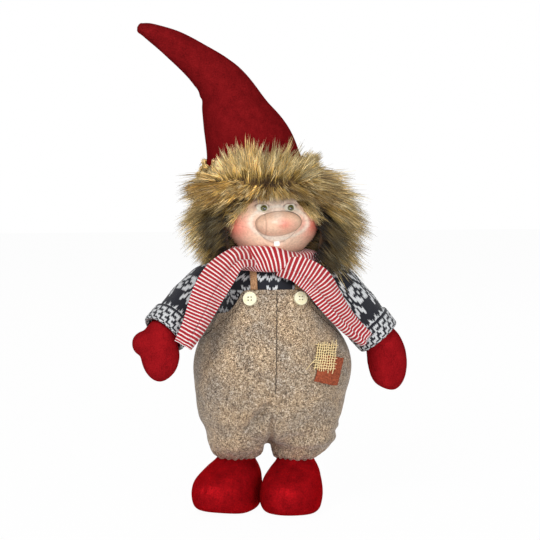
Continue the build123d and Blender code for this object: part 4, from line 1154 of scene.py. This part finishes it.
sewing = []
for sign in (-1, 1):
    sewing += dashes((sign * 27, 202), (sign * 34, 189), 4)
    sewing += dashes((sign * 34, 189), (sign * 47, 176), 5)
    sewing += dashes((sign * 47, 176), (sign * 63, 161), 6)
sewing += dashes((-27, 203), (27, 203), 14)
dress(strand_curve("bib_stitches", sewing, 0.38, sides=2), "torso", seam_shade, "tweed")
seam_line = []
for step in range(62):
    z = 206 - step * 1.5
    seam_line.append((on_overalls(1.5 - 0.03 * (206 - z) + 0.3 * math.sin(z), z, 0.0), 1.0))
dress(strand_curve("centre_seam", [seam_line], 0.5, sides=2), "torso", seam_shade, "tweed")

# Hair: clumps of tapering fur round the hat, over the brow and down both sides and the back
ROOT_DARK = Vector(paint(66, 42, 18)[:3])
GOLD = Vector(paint(232, 194, 104)[:3])
STRAW = Vector(paint(255, 240, 190)[:3])
BROWN = Vector(paint(140, 102, 44)[:3])
SOOT = Vector(paint(52, 36, 26)[:3])
SCALP = [(230, 48, 46), (242, 52, 49), (258, 55, 49), (276, 54, 46), (290, 51, 45), (299, 50.5, 49.5),
         (308, 49.5, 49.5), (320, 46.5, 46.5)]
PARTING_Z = 303.0
STRAND_POINTS = 6
STRANDS_PER_CLUMP = 9
STRANDS_PER_PIECE = 5000
FUR_PIECES = 5
FIRST_SEED = 20


def scalp_point(angle, z):
    """A root on the wig's cap: angle 0 is the front."""
    wide, deep = at_height(SCALP, z)
    shift = -13 * ease(286, 304, z)
    return Vector((math.sin(angle) * wide + shift, -math.cos(angle) * deep, z))


def comb(angle, z, rng):
    """Direction, length, droop and tone of the fur at a place: it fans out from a parting over the brow."""
    out = Vector((math.sin(angle), -math.cos(angle), 0))
    side = math.sin(angle)
    front = math.cos(angle)
    if z > PARTING_Z + rng.gauss(0, 1.5 + 4.0 * abs(side)):
        spread = 0.75 * side if side > 0 else 0.3 * side
        rise = 1 - ease(0.3, 0.9, abs(side)) * (1 - ease(301, 317, z))
        way = out * rng.uniform(0.14, 0.34) + Vector((spread, 0, rise))
        length = rng.uniform(19, 33) * (0.85 + 0.15 * front)
        length *= 1 - (0.38 if side > 0 else 0.78) * ease(0.4, 0.9, abs(side))
        return way.normalized(), length, rng.uniform(-0.05, 0.2), 0.85
    root = scalp_point(angle, z)
    away = Vector((root.x + 5, 0, z - PARTING_Z - 9)).normalized()
    way = (away + out * rng.uniform(0.25, 0.5)).normalized()
    if z > 292 and front > 0.5:
        way = (away + out * rng.uniform(0.1, 0.3) + Vector((side, 0, 0))).normalized()
        length = rng.uniform(8, 13) + 22 * ease(0.25, 0.8, abs(side))
        return way, length, rng.uniform(0.05, 0.3), 0.35
    length = rng.uniform(28, 38) + 6 * ease(0.4, 0.8, side) - (14 if side < 0 else 0) * ease(275, 236, z)
    length *= 1 - (0.78 if side < 0 else 0.1) * ease(287, 302, z)
    return way, length, rng.uniform(0.0, 0.3), 0.62


def in_face(angle, z):
    """Whether a place lies in the opening for the face."""
    return abs(angle) < 0.84 - 0.1 * ease(280, 294, z) and z < 294.5 + 2.0 * math.cos(3 * angle)


def beside_face(angle, z):
    """How deep in the hollow beside the face a place lies: the fur there grows shorter and is painted darker
    as painted shade.
    """
    outer, top = (1.6, 295) if angle < 0 else (1.45, 288)
    return ease(outer, outer - 0.4, abs(angle)) * ease(top, top - 20, z)


def grow(rng, count, per_clump):
    """Strands with their colours, clump by clump."""
    strands = []
    colours = []
    while len(strands) < count:
        where = rng.random()
        if where < 0.3:
            angle = rng.gauss(0, 0.8)
            z = rng.uniform(294, 309)
        else:
            angle = rng.uniform(-math.pi, math.pi)
            z = rng.uniform(235, 319)
        wisp = where > 0.94
        shade_clump = 0.86 < where < 0.94
        if wisp:
            z = rng.uniform(277, 295)
            angle = rng.choice((-1, 1)) * rng.uniform(0.42 + 0.024 * (294 - z), 0.95)
        elif shade_clump:
            z = rng.uniform(240, 280)
            angle = rng.choice((-1, 1)) * rng.uniform(1.12, 1.5)
        elif in_face(angle, z):
            continue
        way, length, droop, tone = comb(angle, z, rng)
        hollow = beside_face(angle, z)
        length *= 1 - 0.35 * hollow - 0.35 * mound(angle + 1.0, 0.3) * mound(z - 284, 9)
        root = scalp_point(angle, z)
        side_x = math.sin(angle)
        if wisp:
            wide, deep = at_height(HEAD, z)
            root = Vector((math.sin(angle) * wide, -math.cos(angle) * deep, z)) * 1.03
            root.z = z
            way = Vector((0.75 * math.copysign(1, angle), -0.28, -0.6)).normalized()
            length = rng.uniform(13, 22)
            hollow = 0.0
        # Short clumps deep in the hollow beside the face, painted nearly black as painted shade
        if shade_clump:
            wide, deep = at_height(HEAD, z)
            root = Vector((math.sin(angle) * wide, -math.cos(angle) * deep, z))
            way = Vector((0.85 * math.copysign(1, angle), -0.3, -0.3)).normalized()
            length = rng.uniform(12, 20)
            hollow = 0.95
        bend = Vector((rng.gauss(0, 0.17), rng.gauss(0, 0.17), rng.gauss(0, 0.15)))
        # Painted shade: clumps in the hollow beside the face are darkened. Painted light: clumps on the
        # figure's right side, towards the key light, are 1.35 times lighter.
        light = rng.uniform(0.5, 1.4) * (1 - 0.85 * hollow) * (1.35 if side_x < 0 else 1.0)
        middle = BROWN.lerp(GOLD, clamp(tone + rng.gauss(0, 0.25)))
        ends = middle.lerp(STRAW, clamp(tone - 0.2 + rng.gauss(0, 0.3)))
        dark_tip = 0.9 if rng.random() < 0.6 else 0.3
        for _ in range(per_clump):
            spread = Vector((rng.gauss(0, 1.8), rng.gauss(0, 1.8), rng.gauss(0, 1.8)))
            own = length * rng.uniform(0.7, 1.1)
            stray = Vector((rng.gauss(0, 0.08), rng.gauss(0, 0.08), rng.gauss(0, 0.08)))
            heading = (way + bend + stray).normalized()
            girth = rng.uniform(0.65, 1.3)
            own_light = light * rng.uniform(0.5, 1.5)
            points = []
            for step in range(STRAND_POINTS):
                share = step / (STRAND_POINTS - 1)
                point = root + spread * (1 - 0.8 * share) + heading * (own * share)
                point += Vector((0, 0, -droop * own * share * share * 0.75))
                points.append((point, girth * (1.0 - 0.92 * share**1.5)))
                colour = ROOT_DARK.lerp(middle, ease(0.1, 0.5, share)).lerp(ends, ease(0.4, 0.75, share))
                colours.append(colour.lerp(SOOT, dark_tip * ease(0.78, 1.0, share)) * own_light)
            strands.append(points)
    return strands, colours


def fur_piece(name, seed, count):
    rng = random.Random(seed)
    strands, colours = grow(rng, count, STRANDS_PER_CLUMP)
    piece = strand_curve(name, strands, 0.36, caps=False)
    tint = piece.data.attributes.new("tint", "FLOAT_COLOR", "POINT")
    ring = len(piece.data.vertices) // len(colours)
    values = []
    for colour in colours:
        values += [*colour, 1.0] * ring
    tint.data.foreach_set("color", values)
    return piece


def cap_place(u, v):
    z = 242 + 75 * v
    angle = (u - 0.5) * TURN * 0.7 + math.pi
    point = scalp_point(angle, z)
    return point * 0.985 + Vector((0, 0, 0.015 * z))


cap = lay("hair_cap", 96, 40, cap_place, {"tint": lambda u, v: (*ROOT_DARK, 1.0)}, close=False)
wall = cap.modifiers.new("Wall", "SOLIDIFY")
wall.thickness = 2.0 * MM
wall.offset = -1.0
bake(cap)
dress(cap, "head", fur, "fur", "wig")
for index in range(FUR_PIECES):
    tufts = fur_piece(f"fur_{index + 1}", FIRST_SEED + index, STRANDS_PER_PIECE)
    dress(tufts, "head", fur, "fur")


# Studio: white floor and backdrop, soft light and a camera at the photograph's angle
LAMPS = [("key_light", (-0.7, -1.3, 1.5), 0.8, 22.0), ("fill_light", (0.45, -1.7, 0.55), 1.0, 13.0),
         ("back_light", (0.3, 1.3, 1.3), 0.9, 8.0)]
WORLD_LIGHT = 0.24
BACKDROP_LIFT = 0.76


def studio():
    ground = Finish("studio_floor", roughness=0.9)
    white = ground.add("Emission", Color=(1, 1, 1, 1), Strength=1.0)
    ray = ground.add("LightPath").outputs
    mirrored = ground.math("ADD", ray["Is Glossy Ray"], ray["Is Transmission Ray"])
    seen = ground.math("ADD", ray["Is Camera Ray"], mirrored)
    both = ground.add("MixShader", Fac=ground.math("MULTIPLY", seen, 0.97))
    ground.shader.inputs["Base Color"].default_value = (0.92, 0.92, 0.92, 1)
    ground.join(ground.shader.outputs[0], both.inputs[1])
    ground.join(white.outputs[0], both.inputs[2])
    ground.join(both.outputs[0], ground.tree.nodes["Material Output"].inputs["Surface"])
    bm = bmesh.new()
    bmesh.ops.create_grid(bm, x_segments=2, y_segments=2, size=3.0)
    floor = piece_from("studio_floor", bm)
    floor.data.materials.append(ground.material)
    floor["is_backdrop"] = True

    scene = bpy.context.scene
    scene.view_settings.view_transform = "Standard"
    world = bpy.data.worlds.new("studio")
    scene.world = world
    world.use_nodes = True
    sky = world.node_tree.nodes["Background"]
    sky.inputs["Color"].default_value = (1, 1, 1, 1)
    path = world.node_tree.nodes.new("ShaderNodeLightPath")
    lift = world.node_tree.nodes.new("ShaderNodeMath")
    lift.operation = "MULTIPLY_ADD"
    lift.inputs[1].default_value = BACKDROP_LIFT
    lift.inputs[2].default_value = WORLD_LIGHT
    mirrored = world.node_tree.nodes.new("ShaderNodeMath")
    mirrored.operation = "ADD"
    shown = world.node_tree.nodes.new("ShaderNodeMath")
    shown.operation = "ADD"
    world.node_tree.links.new(path.outputs["Is Glossy Ray"], mirrored.inputs[0])
    world.node_tree.links.new(path.outputs["Is Transmission Ray"], mirrored.inputs[1])
    world.node_tree.links.new(path.outputs["Is Camera Ray"], shown.inputs[0])
    world.node_tree.links.new(mirrored.outputs[0], shown.inputs[1])
    world.node_tree.links.new(shown.outputs[0], lift.inputs[0])
    world.node_tree.links.new(lift.outputs[0], sky.inputs["Strength"])
    for name, place, size, power in LAMPS:
        lamp = bpy.data.lights.new(name, "AREA")
        lamp.size = size
        lamp.energy = power
        holder = bpy.data.objects.new(name, lamp)
        holder.location = place
        aim = Vector((0, 0, 0.22)) - Vector(place)
        holder.rotation_euler = aim.to_track_quat("-Z", "Y").to_euler()
        scene.collection.objects.link(holder)


def camera():
    azimuth = math.radians(-5.5)
    rise = math.radians(6.0)
    away = 1.8
    target = Vector((-0.0009, 0, 0.2207))
    view = bpy.data.cameras.new("photo_camera")
    view.sensor_width = 36.0
    view.lens = 36.0 * away / 0.4949
    holder = bpy.data.objects.new("photo_camera", view)
    level = math.cos(rise)
    towards = Vector((math.sin(azimuth) * level, -math.cos(azimuth) * level, math.sin(rise)))
    holder.location = target + towards * away
    holder.rotation_euler = (-towards).to_track_quat("-Z", "Y").to_euler()
    bpy.context.scene.collection.objects.link(holder)
    bpy.context.scene.camera = holder


studio()
camera()
low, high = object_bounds()
